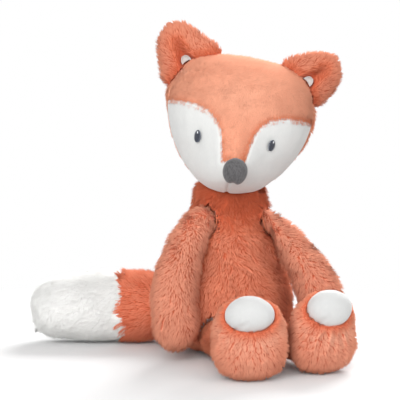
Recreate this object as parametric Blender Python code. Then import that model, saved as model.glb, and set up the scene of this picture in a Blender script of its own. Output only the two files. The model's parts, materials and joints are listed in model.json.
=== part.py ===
"""Seated plush fox: furry torso, arms, legs and tail, a velour face, cupped ears.

Metres, +Z up. The origin is the middle of the flat seat under the torso, and
the toy's chest faces -Y. Limbs end in stuffed balls that turn in round dishes
of the torso, each held by a ring of thread. The head sits on a round neck.
"""
import math

import bmesh
import bpy
from mathutils import Matrix, Vector

# Sewing: the sheet of fabric with its pile, and the room left between pieces
SKIN = 0.006
GAP = 0.0003
SOCKET_GAP = 0.0010
SEAT_CUT = 0.0005
OVERRUN = 0.2
CAP_POWER = 2.6
CAP_PLACE_SHARE = 0.45

# Torso: a pear that ends in the round neck
BELLY_WIDTH = 0.118
BELLY_DEPTH = 0.104
PEAR_HEIGHT = 0.150
PEAR_TOP_LEAN = 0.004
PEAR_FOOT_ROUND = 0.024
PEAR_TOP_ROUND = 0.030
PEAR_WIDTH_SHARES = (0.86, 0.98, 1.00, 0.94, 0.84, 0.72, 0.63, 0.57, 0.52)
PEAR_DEPTH_SHARES = (0.86, 0.98, 1.00, 0.95, 0.86, 0.76, 0.67, 0.62, 0.58)
NECK_RADIUS = 0.032
NECK_SIDE = 0.001
NECK_BACK = 0.003
NECK_HEIGHT = 0.141
NECK_HOLE_RADIUS = 0.011
NECK_RING_RISE = 0.021
NECK_HOLE_SHARES = (0.5, 0.9, 1.3)

# Thread: the drawn rings that hold the limbs and the neck, between ball and dish
THREAD_RADIUS = 0.0007
THREAD_DEPTH = 0.006

# Bag of pellets in the seat
BAG_WIDTH = 0.060
BAG_DEPTH = 0.048
BAG_HEIGHT = 0.030
BAG_BACK = 0.001
BAG_RISE = 0.017

# Head, in its own frame: x to its left, -y to its front, z up
HEAD_WIDTH = 0.138
HEAD_HEIGHT = 0.124
HEAD_DEPTH = 0.120
HEAD_SIDE = 0.0035
HEAD_FRONT = 0.004
HEAD_RISE = 0.205
HEAD_LOOK_DEG = -15.0
HEAD_NOD_DEG = -5.0
HEAD_ROLL_DEG = 9.5
HEAD_CAP = 0.026
HEAD_WIDTH_SHARES = (0.41, 0.565, 0.70, 0.81, 0.90, 0.94, 0.985, 0.965, 0.90, 0.84, 0.755)
HEAD_FRONT_SHARES = (0.66, 0.77, 0.83, 0.91, 0.95, 0.95, 0.92, 0.85, 0.74, 0.60, 0.50)
HEAD_BACK_SHARES = (0.50, 0.63, 0.77, 0.90, 0.98, 1.00, 0.98, 0.90, 0.78, 0.64, 0.53)
MUZZLE_LENGTH = 0.028
MUZZLE_SPREAD = 0.024
MUZZLE_SHARES = (0.60, 0.95, 0.97, 0.72, 0.45, 0.25, 0.10, 0.02, 0.0, 0.0, 0.0)
FACE_SEAM = 0.008
CHEEK_OUTLINE_SHARES = (
    (0.0, -0.50), (0.145, -0.50), (0.18, -0.32), (0.22, -0.13), (0.29, 0.016),
    (0.39, 0.105), (0.54, 0.16), (0.77, 0.20), (1.20, 0.20), (1.20, -1.30), (0.0, -1.30),
)

# Nose and eyes, seated in the face
NOSE_WIDTH = 0.023
NOSE_HEIGHT = 0.024
NOSE_DEPTH = 0.017
NOSE_RISE_SHARE = -0.351
NOSE_SIDE = 0.0030
NOSE_PROUD = 0.0010
NOSE_NOTCH_SHARE = 0.30
NOSE_NOTCH_TURN = 0.32
NOSE_NARROW_SHARE = 0.16
EYE_WIDTH = 0.0054
EYE_HEIGHT = 0.0108
EYE_APART_SHARES = {"right": 0.478, "left": 0.440}
EYE_RISE_SHARES = {"right": -0.141, "left": -0.122}
EYE_PROUD = 0.0008
EYE_SUNK = 0.0012

# Ears: round cups that fold at their foot
EAR_WIDTH = 0.062
EAR_HEIGHT = 0.048
EAR_ROOT = 0.014
EAR_THICK = 0.028
EAR_TIP_ROUND = 0.016
EAR_WIDTH_SHARES = (0.96, 1.0, 0.97, 0.86, 0.70, 0.58)
EAR_THICK_SHARES = (1.0, 1.0, 1.0, 0.92, 0.84, 0.74)
EAR_LEAN_DEG = {"right": 37.0, "left": 43.0}
EAR_FACE_DEG = 10.0
EAR_FOOT_APART_SHARE = 0.638
EAR_FOOT_BACK_SHARE = 0.033
EAR_FOOT_RISE_SHARE = 0.298
EAR_FOLD_DEG = (-15.0, 0.0, 15.0)
CUP_WIDTH = 0.030
CUP_HEIGHT = 0.034
CUP_DEPTH = 0.034
CUP_RISE = 0.009
LINING_THICK = 0.0025

# Arms: out, front and down from each shoulder, as shares of these reaches
SHOULDER_OUT = 0.033
SHOULDER_FRONT = 0.016
SHOULDER_RISE = 0.121
SHOULDER_TURN_DEG = -28.0
SHOULDER_TILT_DEG = 15.0
ARM_BALL = 0.015
ARM_OUT = 0.038
ARM_FRONT = 0.040
ARM_DROP = 0.110
ARM_WIDTH = 0.043
ARM_THICK = 0.034
ARM_END_ROUND = 0.020
ARM_WIDTH_SHARES = (0.70, 0.78, 0.85, 0.93, 1.00, 1.00, 0.86)
ARM_THICK_SHARES = (0.88, 0.95, 1.00, 1.00, 1.00, 1.00, 0.90)
ARM_SHARES = {
    "right": ((0.0, 0.0, 0.0), (0.36, 0.20, 0.14), (0.68, 0.40, 0.36), (0.80, 0.52, 0.66), (0.68, 0.60, 1.0)),
    "left": ((0.0, 0.0, 0.0), (0.28, 0.42, 0.16), (0.63, 0.80, 0.39), (0.90, 1.00, 0.68), (0.92, 1.06, 1.0)),
}
ARM_SWING_DEG = (-45.0, -35.0, -25.0, -15.0, -8.0, 0.0, 6.0)
ARM_LIFT_DEG = (0.0, 20.0, 40.0, 60.0, 75.0)

# Legs: from each hip forward along the floor
HIP_OUT = 0.025
HIP_FRONT = 0.041
HIP_RISE = 0.0195
LEG_BALL = 0.0165
LEG_WIDTH = 0.035
LEG_REACH = 0.066
LEG_RISE_SHARE = 0.06
LEG_STEP_SHARES = (0.33, 0.66)
LEG_SPLAY_SHARES = {"right": -0.06, "left": 0.24}
LEG_RAISE_DEG = (-40.0, -20.0, 0.0, 15.0, 30.0)
LEG_ROLL_DEG = (0.0, 15.0, 30.0)

# Feet: soles to the front, toes up
FOOT_WIDTH = 0.063
FOOT_HEIGHT = 0.068
FOOT_DEPTH = 0.042
FOOT_ROUND = 0.027
FOOT_WIDTH_SHARES = (0.92, 1.0, 1.0, 0.98, 0.90)
FOOT_DEPTH_SHARES = (1.0, 1.0, 0.95, 0.85, 0.74)
FOOT_PLACE = {"right": (-0.020, -0.119), "left": (0.0475, -0.108)}
FOOT_TURN_DEG = {"right": -15.0, "left": 14.0}
TOE_WIDTH = 0.042
TOE_HEIGHT = 0.027
TOE_DEPTH = 0.030
TOE_FRONT = 0.009
TOE_RISE = 0.0545

# Tail: thick and round, lying on the floor to the toy's right
TAIL_OUT = 0.030
TAIL_BACK = 0.042
TAIL_BALL = 0.020
TAIL_WIDTH = 0.066
TAIL_REACH = 0.142
TAIL_SWEEP = 0.040
TAIL_TIP_ROUND = 0.026
TAIL_PATH_SHARES = ((0.0, 0.0), (0.30, 0.42), (0.62, 0.78), (1.0, 1.0))
TAIL_WIDTH_SHARES = (0.62, 0.80, 0.97, 1.00, 0.98, 0.90, 0.74)
TAIL_SEAM_SHARE = 0.43
TAIL_SEAM_STEP_SHARE = 0.05
TAIL_SWING_DEG = (0.0, 20.0, 40.0, 60.0)
TAIL_TURN_DEG = (0.0, 20.0, 40.0)

# How finely the round forms are faceted, as sides and rings
SIDES = 20
RINGS = 12
NECK_FACETS = (20, 10)
HIDDEN_FACETS = (14, 9)
MOUTH_FACETS = (12, 8)
TOE_FACETS = (16, 7)
ROOM_FLAT_DEG = 2.5
SIDE_SIGN = {"right": -1.0, "left": 1.0}

ORANGE = (0.80, 0.27, 0.12)
RUST = (0.60, 0.17, 0.08)
WHITE = (0.80, 0.79, 0.76)
GREY = (0.16, 0.16, 0.16)
NAVY = (0.012, 0.016, 0.04)
FILLING = (0.86, 0.86, 0.84)
SHELL = (0.62, 0.62, 0.60)


def clear_scene():
    for thing in list(bpy.data.objects):
        bpy.data.objects.remove(thing, do_unlink=True)


def material(name, colour, roughness):
    """A Principled material of one colour."""
    made = bpy.data.materials.new(name)
    made.use_nodes = True
    shader = made.node_tree.nodes["Principled BSDF"]
    shader.inputs["Base Color"].default_value = (*colour, 1.0)
    shader.inputs["Roughness"].default_value = roughness
    shader.inputs["Metallic"].default_value = 0.0
    made.diffuse_color = (*colour, 1.0)
    return made


def mesh_object(name, points, faces):
    """A smooth-shaded object from points and faces, its faces turned outward."""
    mesh = bpy.data.meshes.new(name)
    mesh.from_pydata([tuple(point) for point in points], [], faces)
    shape = bmesh.new()
    shape.from_mesh(mesh)
    bmesh.ops.recalc_face_normals(shape, faces=shape.faces)
    shape.to_mesh(mesh)
    shape.free()
    mesh.shade_smooth()
    made = bpy.data.objects.new(name, mesh)
    bpy.context.collection.objects.link(made)
    return made


def ringed(name, rings, start, end):
    """A closed form through rings of points, with a point at each end."""
    sides = len(rings[0])
    points = [point for ring in rings for point in ring] + [start, end]
    first, last = len(points) - 2, len(points) - 1
    faces = []
    for row in range(len(rings) - 1):
        for side in range(sides):
            a = row * sides + side
            b = row * sides + (side + 1) % sides
            faces.append((a, b, b + sides, a + sides))
    top = (len(rings) - 1) * sides
    for side in range(sides):
        following = (side + 1) % sides
        faces.append((first, following, side))
        faces.append((last, top + side, top + following))
    return mesh_object(name, points, faces)


def smooth_at(row, share):
    """The value a share of the way along an evenly spaced row, on a smooth curve."""
    last = len(row) - 1
    place = min(max(share, 0.0), 1.0) * last
    index = min(int(place), last - 1)
    t = place - index
    a, b, c, d = row[max(index - 1, 0)], row[index], row[index + 1], row[min(index + 2, last)]
    return 0.5 * ((b * 2.0) + (c - a) * t + (a * 2.0 - b * 5.0 + c * 4.0 - d) * (t * t)
                  + (b * 3.0 - a - c * 3.0 + d) * (t * t * t))


def cap(distance, reach):
    """How much of its width a form has at a distance from a rounded end."""
    inner = 1.0 - min(max(distance, 0.0) / reach, 1.0)
    return (1.0 - inner ** CAP_POWER) ** (1.0 / CAP_POWER)


def end_spaced(length, start_round, end_round, rings):
    """Distances along a form, close together in its rounded ends."""
    near = max(rings // 3, 3)
    quarter = math.pi / 2.0
    start = [start_round * (1.0 - math.cos(quarter * (i + CAP_PLACE_SHARE) / near)) for i in range(near)]
    end = [length - end_round * (1.0 - math.cos(quarter * (i + CAP_PLACE_SHARE) / near)) for i in range(near)]
    middle = rings - 2 * near
    run = length - start_round - end_round
    between = [start_round + run * i / (middle - 1) for i in range(middle)]
    return start + between + end[::-1]


def swept(name, spine, half_widths, half_depths, across, rounds, sides=SIDES, rings=RINGS, grow=0.0):
    """A stuffed form: ellipses along a smooth spine, round at both ends."""
    steps = 96
    line = [smooth_at(spine, i / steps) for i in range(steps + 1)]
    along = [0.0]
    for before, after in zip(line, line[1:]):
        along.append(along[-1] + (after - before).length)
    length = along[-1]
    start_way = (line[1] - line[0]).normalized()
    end_way = (line[-1] - line[-2]).normalized()
    start_round, end_round = rounds[0] + grow, rounds[1] + grow
    made = []
    for distance in end_spaced(length + 2.0 * grow, start_round, end_round, rings):
        inner = min(max(distance - grow, 0.0), length)
        index = next(i for i in range(steps) if along[i + 1] >= inner - 1e-12)
        t = (inner - along[index]) / (along[index + 1] - along[index])
        centre = line[index].lerp(line[index + 1], t)
        way = (line[min(index + 2, steps)] - line[max(index - 1, 0)]).normalized()
        if distance < grow:
            centre = centre + start_way * (distance - grow)
        if distance - grow > length:
            centre = centre + end_way * (distance - grow - length)
        depth_way = way.cross(across).normalized()
        width_way = depth_way.cross(way).normalized()
        full = length + 2.0 * grow
        taper = cap(distance, start_round) * cap(full - distance, end_round)
        share = (index + t) / steps
        width = (smooth_at(half_widths, share) + grow) * taper
        depth = (smooth_at(half_depths, share) + grow) * taper
        ring = []
        for side in range(sides):
            turn = 2.0 * math.pi * side / sides
            ring.append(centre + width_way * (width * math.cos(turn)) + depth_way * (depth * math.sin(turn)))
        made.append(ring)
    return ringed(name, made, line[0] - start_way * grow, line[-1] + end_way * grow)


def ellipsoid(name, centre, half_sizes, turn=Matrix.Identity(3), sides=16, rings=8):
    """An ellipsoid with half sizes along its own axes, turned and placed."""
    made = []
    for row in range(1, rings):
        rise = math.pi * row / rings
        ring = []
        for side in range(sides):
            way = 2.0 * math.pi * side / sides
            unit = Vector((math.sin(rise) * math.cos(way), math.sin(rise) * math.sin(way), -math.cos(rise)))
            ring.append(centre + turn @ Vector([u * h for u, h in zip(unit, half_sizes)]))
        made.append(ring)
    low = centre + turn @ Vector((0.0, 0.0, -half_sizes[2]))
    high = centre + turn @ Vector((0.0, 0.0, half_sizes[2]))
    return ringed(name, made, low, high)


def ball(name, centre, radius, sides=16, rings=8):
    return ellipsoid(name, centre, (radius, radius, radius), sides=sides, rings=rings)


def dish_radius(ball_radius):
    """The radius of the dish round a ball and its thread."""
    return ball_radius + GAP + 2.0 * THREAD_RADIUS + SOCKET_GAP


def thread_ring(name, pivot, axis, ball_radius, depth, sides=20, around=4, grow=0.0):
    """A ring of thread that lies on a ball, below its middle by a depth."""
    thick = THREAD_RADIUS + grow
    reach = ball_radius + GAP + THREAD_RADIUS
    radius = math.sqrt(reach * reach - depth * depth)
    turn = Vector((0.0, 0.0, 1.0)).rotation_difference(axis).to_matrix()
    points = []
    for step in range(sides):
        way = 2.0 * math.pi * step / sides
        for part in range(around):
            spin = 2.0 * math.pi * part / around
            out = radius + thick * math.cos(spin)
            local = Vector((out * math.cos(way), out * math.sin(way), thick * math.sin(spin) - depth))
            points.append(pivot + turn @ local)
    faces = []
    for step in range(sides):
        for part in range(around):
            a = step * around + part
            b = step * around + (part + 1) % around
            c = (step + 1) % sides * around + (part + 1) % around
            d = (step + 1) % sides * around + part
            faces.append((a, b, c, d))
    return mesh_object(name, points, faces)


def prism(name, outline, near, far):
    """An outline in x and z, closed and carried from one y to another."""
    count = len(outline)
    points = [Vector((x, near, z)) for x, z in outline] + [Vector((x, far, z)) for x, z in outline]
    faces = [tuple(range(count)), tuple(range(2 * count - 1, count - 1, -1))]
    for i in range(count):
        j = (i + 1) % count
        faces.append((i, j, j + count, i + count))
    return mesh_object(name, points, faces)


def slab(name, low, high):
    """A block from its low corner to its high corner."""
    outline = ((low[0], low[2]), (high[0], low[2]), (high[0], high[2]), (low[0], high[2]))
    return prism(name, outline, low[1], high[1])


def carve(target, cutters, operation="DIFFERENCE", solver="EXACT"):
    """Cut, join or intersect a form with others, and keep the result as its mesh."""
    for cutter in cutters:
        cutter.hide_render = True
        cutter.display_type = "WIRE"
        step = target.modifiers.new(cutter.name, "BOOLEAN")
        step.object = cutter
        step.operation = operation
        step.solver = solver
    bpy.context.view_layer.update()
    seen = target.evaluated_get(bpy.context.evaluated_depsgraph_get())
    mesh = bpy.data.meshes.new_from_object(seen)
    target.modifiers.clear()
    old = target.data
    target.data = mesh
    mesh.name = target.name
    bpy.data.meshes.remove(old)
    for cutter in cutters:
        bpy.data.objects.remove(cutter, do_unlink=True)
    return target


def nested(form, depth=0.0):
    """Split a form into triangles and move them inward, so that nested copies keep their gap."""
    shape = bmesh.new()
    shape.from_mesh(form.data)
    bmesh.ops.triangulate(shape, faces=shape.faces, quad_method="FIXED")
    moved = [vertex.co - vertex.normal * depth for vertex in shape.verts]
    for vertex, place in zip(shape.verts, moved):
        vertex.co = place
    shape.to_mesh(form.data)
    shape.free()
    return form


def copy_of(thing, name):
    """A second object with a mesh of its own."""
    made = thing.copy()
    made.data = thing.data.copy()
    made.name = name
    bpy.context.collection.objects.link(made)
    return made


def turned_about(pivot, turns):
    """The motion of turning about axes through a pivot, first turn innermost."""
    motion = Matrix.Identity(4)
    for axis, degrees in turns:
        motion = motion @ Matrix.Rotation(math.radians(degrees), 4, axis)
    return Matrix.Translation(pivot) @ motion @ Matrix.Translation(-pivot)


def relieve(form, fixed, pivot, poses):
    """Take from a moving form the room that a fixed, rounded one sweeps at its poses."""
    shape = bmesh.new()
    for turns in poses:
        motion = turned_about(pivot, turns).inverted()
        for vertex in fixed.data.vertices:
            shape.verts.new(motion @ vertex.co)
    bmesh.ops.convex_hull(shape, input=shape.verts)
    inside = [vertex for vertex in shape.verts if not vertex.link_faces]
    bmesh.ops.delete(shape, geom=inside, context="VERTS")
    flat = math.radians(ROOM_FLAT_DEG)
    bmesh.ops.dissolve_limit(shape, angle_limit=flat, verts=shape.verts, edges=shape.edges)
    bmesh.ops.triangulate(shape, faces=shape.faces)
    bmesh.ops.recalc_face_normals(shape, faces=shape.faces)
    mesh = bpy.data.meshes.new(form.name + "_room")
    shape.to_mesh(mesh)
    shape.free()
    room = bpy.data.objects.new(form.name + "_room", mesh)
    bpy.context.collection.objects.link(room)
    bpy.data.objects.remove(fixed, do_unlink=True)
    return carve(form, [room])


def finish_piece(thing, name, look, carrier=None):
    """Name a piece, give it its material and hang it on the empty that carries it."""
    thing.name = name
    thing.data.name = name
    thing.data.materials.clear()
    thing.data.materials.append(look)
    for face in thing.data.polygons:
        face.material_index = 0
    thing.data.shade_smooth()
    thing.data.set_sharp_from_angle(angle=math.radians(40.0))
    if carrier is not None:
        thing.data.transform(carrier.matrix_world.inverted() @ thing.matrix_world)
        thing.parent = carrier
        thing.matrix_parent_inverse = Matrix.Identity(4)
        thing.matrix_basis = Matrix.Identity(4)
    return thing


def pivot_empty(name, place, turn=None, parent=None):
    """An empty on a joint's axis."""
    made = bpy.data.objects.new(name, None)
    bpy.context.collection.objects.link(made)
    made.location = place if parent is None else parent.matrix_world.inverted() @ place
    if turn is not None:
        made.rotation_euler = turn.to_euler()
    made.parent = parent
    bpy.context.view_layer.update()
    return made


# Torso

def pear(name, grow=0.0, sides=24, rings=12):
    """The pear of the torso, its foot a little below the floor."""
    spine = [Vector((0.0, PEAR_TOP_LEAN * i / 4.0, (PEAR_HEIGHT + SEAT_CUT) * i / 4.0 - SEAT_CUT))
             for i in range(5)]
    widths = [share * BELLY_WIDTH / 2.0 for share in PEAR_WIDTH_SHARES]
    depths = [share * BELLY_DEPTH / 2.0 for share in PEAR_DEPTH_SHARES]
    rounds = (PEAR_FOOT_ROUND, PEAR_TOP_ROUND)
    return swept(name, spine, widths, depths, Vector((1.0, 0.0, 0.0)), rounds, sides, rings, grow)


NECK = Vector((NECK_SIDE, NECK_BACK, NECK_HEIGHT))


def below_floor(name):
    return slab(name, (-OVERRUN, -OVERRUN, -OVERRUN), (OVERRUN, OVERRUN, 0.0))


def shoulder(side):
    sign = SIDE_SIGN[side]
    return Vector((sign * SHOULDER_OUT, -SHOULDER_FRONT, SHOULDER_RISE))


def shoulder_axis(side):
    """Outward from the shoulder, square to the sloping side of the torso."""
    turn, tilt = math.radians(SHOULDER_TURN_DEG), math.radians(SHOULDER_TILT_DEG)
    flat = math.cos(tilt)
    return Vector((SIDE_SIGN[side] * math.cos(turn) * flat, math.sin(turn) * flat, math.sin(tilt)))


def hip(side):
    return Vector((SIDE_SIGN[side] * HIP_OUT, -HIP_FRONT, HIP_RISE))


HIP_AXIS = Vector((0.0, -1.0, 0.0))
TAIL_ROOT = Vector((-TAIL_OUT, TAIL_BACK, TAIL_WIDTH / 2.0 - SEAT_CUT))
TAIL_AXIS = Vector((-TAIL_OUT, TAIL_BACK, 0.0)).normalized()
SOCKETS = (
    ("shoulder_thread_right", shoulder("right"), shoulder_axis("right"), ARM_BALL),
    ("shoulder_thread_left", shoulder("left"), shoulder_axis("left"), ARM_BALL),
    ("hip_thread_right", hip("right"), HIP_AXIS, LEG_BALL),
    ("hip_thread_left", hip("left"), HIP_AXIS, LEG_BALL),
    ("tail_thread", TAIL_ROOT, TAIL_AXIS, TAIL_BALL),
)


def socket_dishes():
    """The dishes in which the limb roots turn."""
    return [ball(name + "_dish", pivot, dish_radius(radius)) for name, pivot, axis, radius in SOCKETS]


def torso_body(name):
    """The torso's outer form: the pear and the neck ball, flat where it sits."""
    made = carve(pear(name), [ball("neck_ball", NECK, NECK_RADIUS, *NECK_FACETS)], "UNION")
    return carve(made, [below_floor("floor_cut")])


def torso_pieces(looks):
    """The skin with its filling and the bag of pellets."""
    hollow = nested(pear("hollow", -SKIN, *HIDDEN_FACETS))
    carve(hollow, [ball("neck_hollow", NECK, NECK_RADIUS - SKIN)], "UNION")
    skin = torso_body("torso_skin")
    spine = [NECK + Vector((0.0, 0.0, NECK_RADIUS * share)) for share in NECK_HOLE_SHARES]
    half = [NECK_HOLE_RADIUS] * len(spine)
    ends = (NECK_HOLE_RADIUS / 3.0, NECK_HOLE_RADIUS / 3.0)
    mouth = swept("neck_mouth", spine, half, half, Vector((1.0, 0.0, 0.0)), ends, *MOUTH_FACETS)
    carve(skin, [hollow, mouth])
    carve(skin, socket_dishes())
    filling = nested(pear("torso_stuffing", -SKIN, *HIDDEN_FACETS), GAP)
    carve(filling, [ball("neck_filling", NECK, NECK_RADIUS - SKIN - GAP)], "UNION")
    room = copy_of(filling, "bag_room")
    bag_at = Vector((0.0, BAG_BACK, BAG_RISE))
    bag_half = Vector((BAG_WIDTH, BAG_DEPTH, BAG_HEIGHT)) / 2.0
    bag = carve(ellipsoid("pellet_bag", bag_at, bag_half), [room], "INTERSECT")
    wider = Vector((GAP, GAP, GAP))
    carve(filling, [ellipsoid("bag_place", bag_at, bag_half + wider)])
    carve(filling, socket_dishes())
    finish_piece(skin, "torso_skin", looks["orange"])
    finish_piece(filling, "torso_stuffing", looks["filling"])
    finish_piece(bag, "pellet_bag", looks["pellets"])


# Head

def head_turn():
    look = Matrix.Rotation(math.radians(HEAD_LOOK_DEG), 3, "Z")
    nod = Matrix.Rotation(math.radians(HEAD_NOD_DEG), 3, "X")
    roll = Matrix.Rotation(math.radians(HEAD_ROLL_DEG), 3, "Y")
    return look @ nod @ roll


def head_form(name, grow=0.0, sides=24, rings=14):
    """The whole head in its own frame: a broad crown, full cheeks and a muzzle."""
    height = HEAD_HEIGHT + 2.0 * grow
    made = []
    for rise in end_spaced(height, HEAD_CAP, HEAD_CAP, rings):
        taper = cap(rise, HEAD_CAP) * cap(height - rise, HEAD_CAP)
        share = rise / height
        width = (smooth_at(HEAD_WIDTH_SHARES, share) * HEAD_WIDTH / 2.0 + grow) * taper
        front = (smooth_at(HEAD_FRONT_SHARES, share) * HEAD_DEPTH / 2.0 + grow) * taper
        back = (smooth_at(HEAD_BACK_SHARES, share) * HEAD_DEPTH / 2.0 + grow) * taper
        muzzle = max(smooth_at(MUZZLE_SHARES, share), 0.0) * MUZZLE_LENGTH * taper
        ring = []
        for side in range(sides):
            turn = 2.0 * math.pi * side / sides
            x = width * math.cos(turn)
            out = math.sin(turn)
            bulge = muzzle * math.exp(-(x / MUZZLE_SPREAD) ** 2)
            y = out * back if out > 0.0 else out * (front + bulge)
            ring.append(Vector((x, y, rise - height / 2.0)))
        made.append(ring)
    return ringed(name, made, Vector((0.0, 0.0, -height / 2.0)), Vector((0.0, 0.0, height / 2.0)))


def cheek_outline(sign, inset=0.0):
    """The velour cheek seen from the front, up to the seam under the nose."""
    points = []
    for x_share, z_share in CHEEK_OUTLINE_SHARES:
        x = x_share * HEAD_WIDTH / 2.0 + inset
        z = z_share * HEAD_HEIGHT / 2.0 - (inset if z_share > -1.0 else 0.0)
        points.append((sign * x, z))
    return points


def nose_form(name, grow=0.0):
    """A padded nose, broad above, with a small notch below."""
    sides, rings = 16, 8
    half = (NOSE_WIDTH / 2.0 + grow, NOSE_DEPTH / 2.0 + grow, NOSE_HEIGHT / 2.0 + grow)
    made = []
    for row in range(1, rings):
        rise = math.pi * row / rings
        ring = []
        for side in range(sides):
            turn = 2.0 * math.pi * side / sides
            notch = NOSE_NOTCH_SHARE * math.exp(-((turn - 1.5 * math.pi) / NOSE_NOTCH_TURN) ** 2)
            narrow = 1.0 - NOSE_NARROW_SHARE * (1.0 - math.sin(turn)) / 2.0
            reach = math.sin(rise) * (1.0 - notch)
            ring.append(Vector((half[0] * reach * math.cos(turn) * narrow, -half[1] * math.cos(rise),
                                half[2] * reach * math.sin(turn))))
        made.append(ring)
    form = ringed(name, made, Vector((0.0, -half[1], 0.0)), Vector((0.0, half[1], 0.0)))
    share = NOSE_RISE_SHARE + 0.5
    snout = smooth_at(HEAD_FRONT_SHARES, share) * HEAD_DEPTH / 2.0 + smooth_at(MUZZLE_SHARES, share) * MUZZLE_LENGTH
    form.data.transform(Matrix.Translation((NOSE_SIDE, -snout - NOSE_PROUD, NOSE_RISE_SHARE * HEAD_HEIGHT)))
    return form


def eye_prism(name, side, grow=0.0):
    count = 14
    outline = []
    apart = SIDE_SIGN[side] * EYE_APART_SHARES[side] * HEAD_WIDTH / 2.0
    for step in range(count):
        turn = 2.0 * math.pi * step / count
        x = apart + (EYE_WIDTH / 2.0 + grow) * math.cos(turn)
        z = EYE_RISE_SHARES[side] * HEAD_HEIGHT + (EYE_HEIGHT / 2.0 + grow) * math.sin(turn)
        outline.append((x, z))
    return prism(name, outline, -HEAD_DEPTH, -FACE_SEAM)


def head_pieces(carrier, looks):
    """The sewn panels of the head, its filling, nose and eyes."""
    place = carrier.matrix_world

    def in_head(thing):
        thing.data.transform(place)
        return thing

    whole = in_head(head_form("head_whole"))
    carve(whole, [ball("head_dish", NECK, dish_radius(NECK_RADIUS), *NECK_FACETS)])
    filling = in_head(nested(head_form("head_stuffing", -SKIN, *HIDDEN_FACETS), GAP))
    carve(filling, [ball("filling_dish", NECK, dish_radius(NECK_RADIUS), *NECK_FACETS)])
    inner = in_head(nested(head_form("head_inner", -SKIN, *HIDDEN_FACETS)))
    carve(whole, [inner])
    carve(whole, [in_head(nose_form("nose_place", GAP))])
    front = (-OVERRUN, -OVERRUN, -OVERRUN), (OVERRUN, -FACE_SEAM, OVERRUN)
    behind = (-OVERRUN, -FACE_SEAM + GAP, -OVERRUN), (OVERRUN, OVERRUN, OVERRUN)
    back = carve(copy_of(whole, "head_back"), [in_head(slab("behind", *behind))], "INTERSECT")
    face = carve(whole, [in_head(slab("front", *front))], "INTERSECT")
    crown = copy_of(face, "head_crown")
    for side, sign in SIDE_SIGN.items():
        cheek = copy_of(face, "cheek_" + side)
        cheek_cut = prism("cheek_cut", cheek_outline(sign, GAP / 2.0), -OVERRUN, 0.0)
        carve(cheek, [in_head(cheek_cut)], "INTERSECT", "MANIFOLD")
        eye = in_head(eye_prism("eye_" + side, side))
        carve(eye, [in_head(head_form("eye_outer", EYE_PROUD))], "INTERSECT")
        carve(eye, [in_head(nested(head_form("eye_inner", -EYE_SUNK)))])
        socket = in_head(eye_prism("eye_socket", side, GAP))
        carve(socket, [in_head(nested(head_form("socket_floor", -EYE_SUNK), GAP))])
        carve(cheek, [socket], solver="MANIFOLD")
        finish_piece(cheek, "cheek_" + side, looks["velour"], carrier)
        finish_piece(eye, "eye_" + side, looks["navy"], carrier)
        crown_cut = prism("crown_cut", cheek_outline(sign, -GAP / 2.0), -OVERRUN, 0.0)
        carve(crown, [in_head(crown_cut)], solver="MANIFOLD")
    nose = in_head(nose_form("nose"))
    carve(nose, [in_head(head_form("nose_seat", -SKIN + GAP))])
    bpy.data.objects.remove(face, do_unlink=True)
    finish_piece(back, "head_back", looks["orange"], carrier)
    finish_piece(crown, "head_crown", looks["orange"], carrier)
    finish_piece(filling, "head_stuffing", looks["filling"], carrier)
    finish_piece(nose, "nose", looks["grey"], carrier)


def ear_pieces(side, carrier, looks):
    """One cupped ear: the furry cup and its pale lining, free to fold at its foot."""
    sign = SIDE_SIGN[side]
    place = carrier.matrix_world
    foot = Vector((sign * EAR_FOOT_APART_SHARE * HEAD_WIDTH / 2.0, EAR_FOOT_BACK_SHARE * HEAD_DEPTH,
                   EAR_FOOT_RISE_SHARE * HEAD_HEIGHT))
    lean = Matrix.Rotation(math.radians(sign * EAR_LEAN_DEG[side]), 3, "Y")
    turn = lean @ Matrix.Rotation(math.radians(sign * EAR_FACE_DEG), 3, "Z")
    up = turn @ Vector((0.0, 0.0, 1.0))
    across = turn @ Vector((1.0, 0.0, 0.0))
    ahead = turn @ Vector((0.0, -1.0, 0.0))
    spine = [foot + up * (EAR_HEIGHT * i / 4.0 - EAR_ROOT * (4 - i) / 4.0) for i in range(5)]
    widths = [share * EAR_WIDTH / 2.0 for share in EAR_WIDTH_SHARES]
    thicks = [share * EAR_THICK / 2.0 for share in EAR_THICK_SHARES]
    cup = swept("ear_cup", spine, widths, thicks, across, (EAR_ROOT, EAR_TIP_ROUND), 16, 10)
    cup_at = foot + up * CUP_RISE + ahead * (EAR_THICK / 2.0)
    cup_half = Vector((CUP_WIDTH, CUP_DEPTH, CUP_HEIGHT)) / 2.0
    step = Vector((LINING_THICK, LINING_THICK, LINING_THICK))
    small = Vector((GAP, GAP, GAP))
    carve(cup, [ellipsoid("cup_hollow", cup_at, cup_half, turn, 12, 7)])
    lining = ellipsoid("ear_lining", cup_at, cup_half - small, turn, 12, 7)
    carve(lining, [ellipsoid("lining_room", cup_at, cup_half - step, turn, 12, 7)])
    rim_cut = slab("rim_cut", (-OVERRUN, -OVERRUN, -OVERRUN), (OVERRUN, LINING_THICK, OVERRUN))
    rim_cut.data.transform(Matrix.Translation(cup_at) @ turn.to_4x4())
    carve(lining, [rim_cut])
    axis = across * sign
    poses = [[(axis, angle)] for angle in EAR_FOLD_DEG]
    for piece, name, look in ((cup, "back", looks["orange"]), (lining, "lining", looks["velour"])):
        relieve(piece, head_form("skull", GAP), foot, poses)
        piece.data.transform(place)
        empty = bpy.data.objects.get("ear_fold_" + side)
        if empty is None:
            empty = pivot_empty("ear_fold_" + side, place @ foot, parent=carrier)
        finish_piece(piece, f"ear_{side}_{name}", look, empty)


# Limbs

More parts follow.
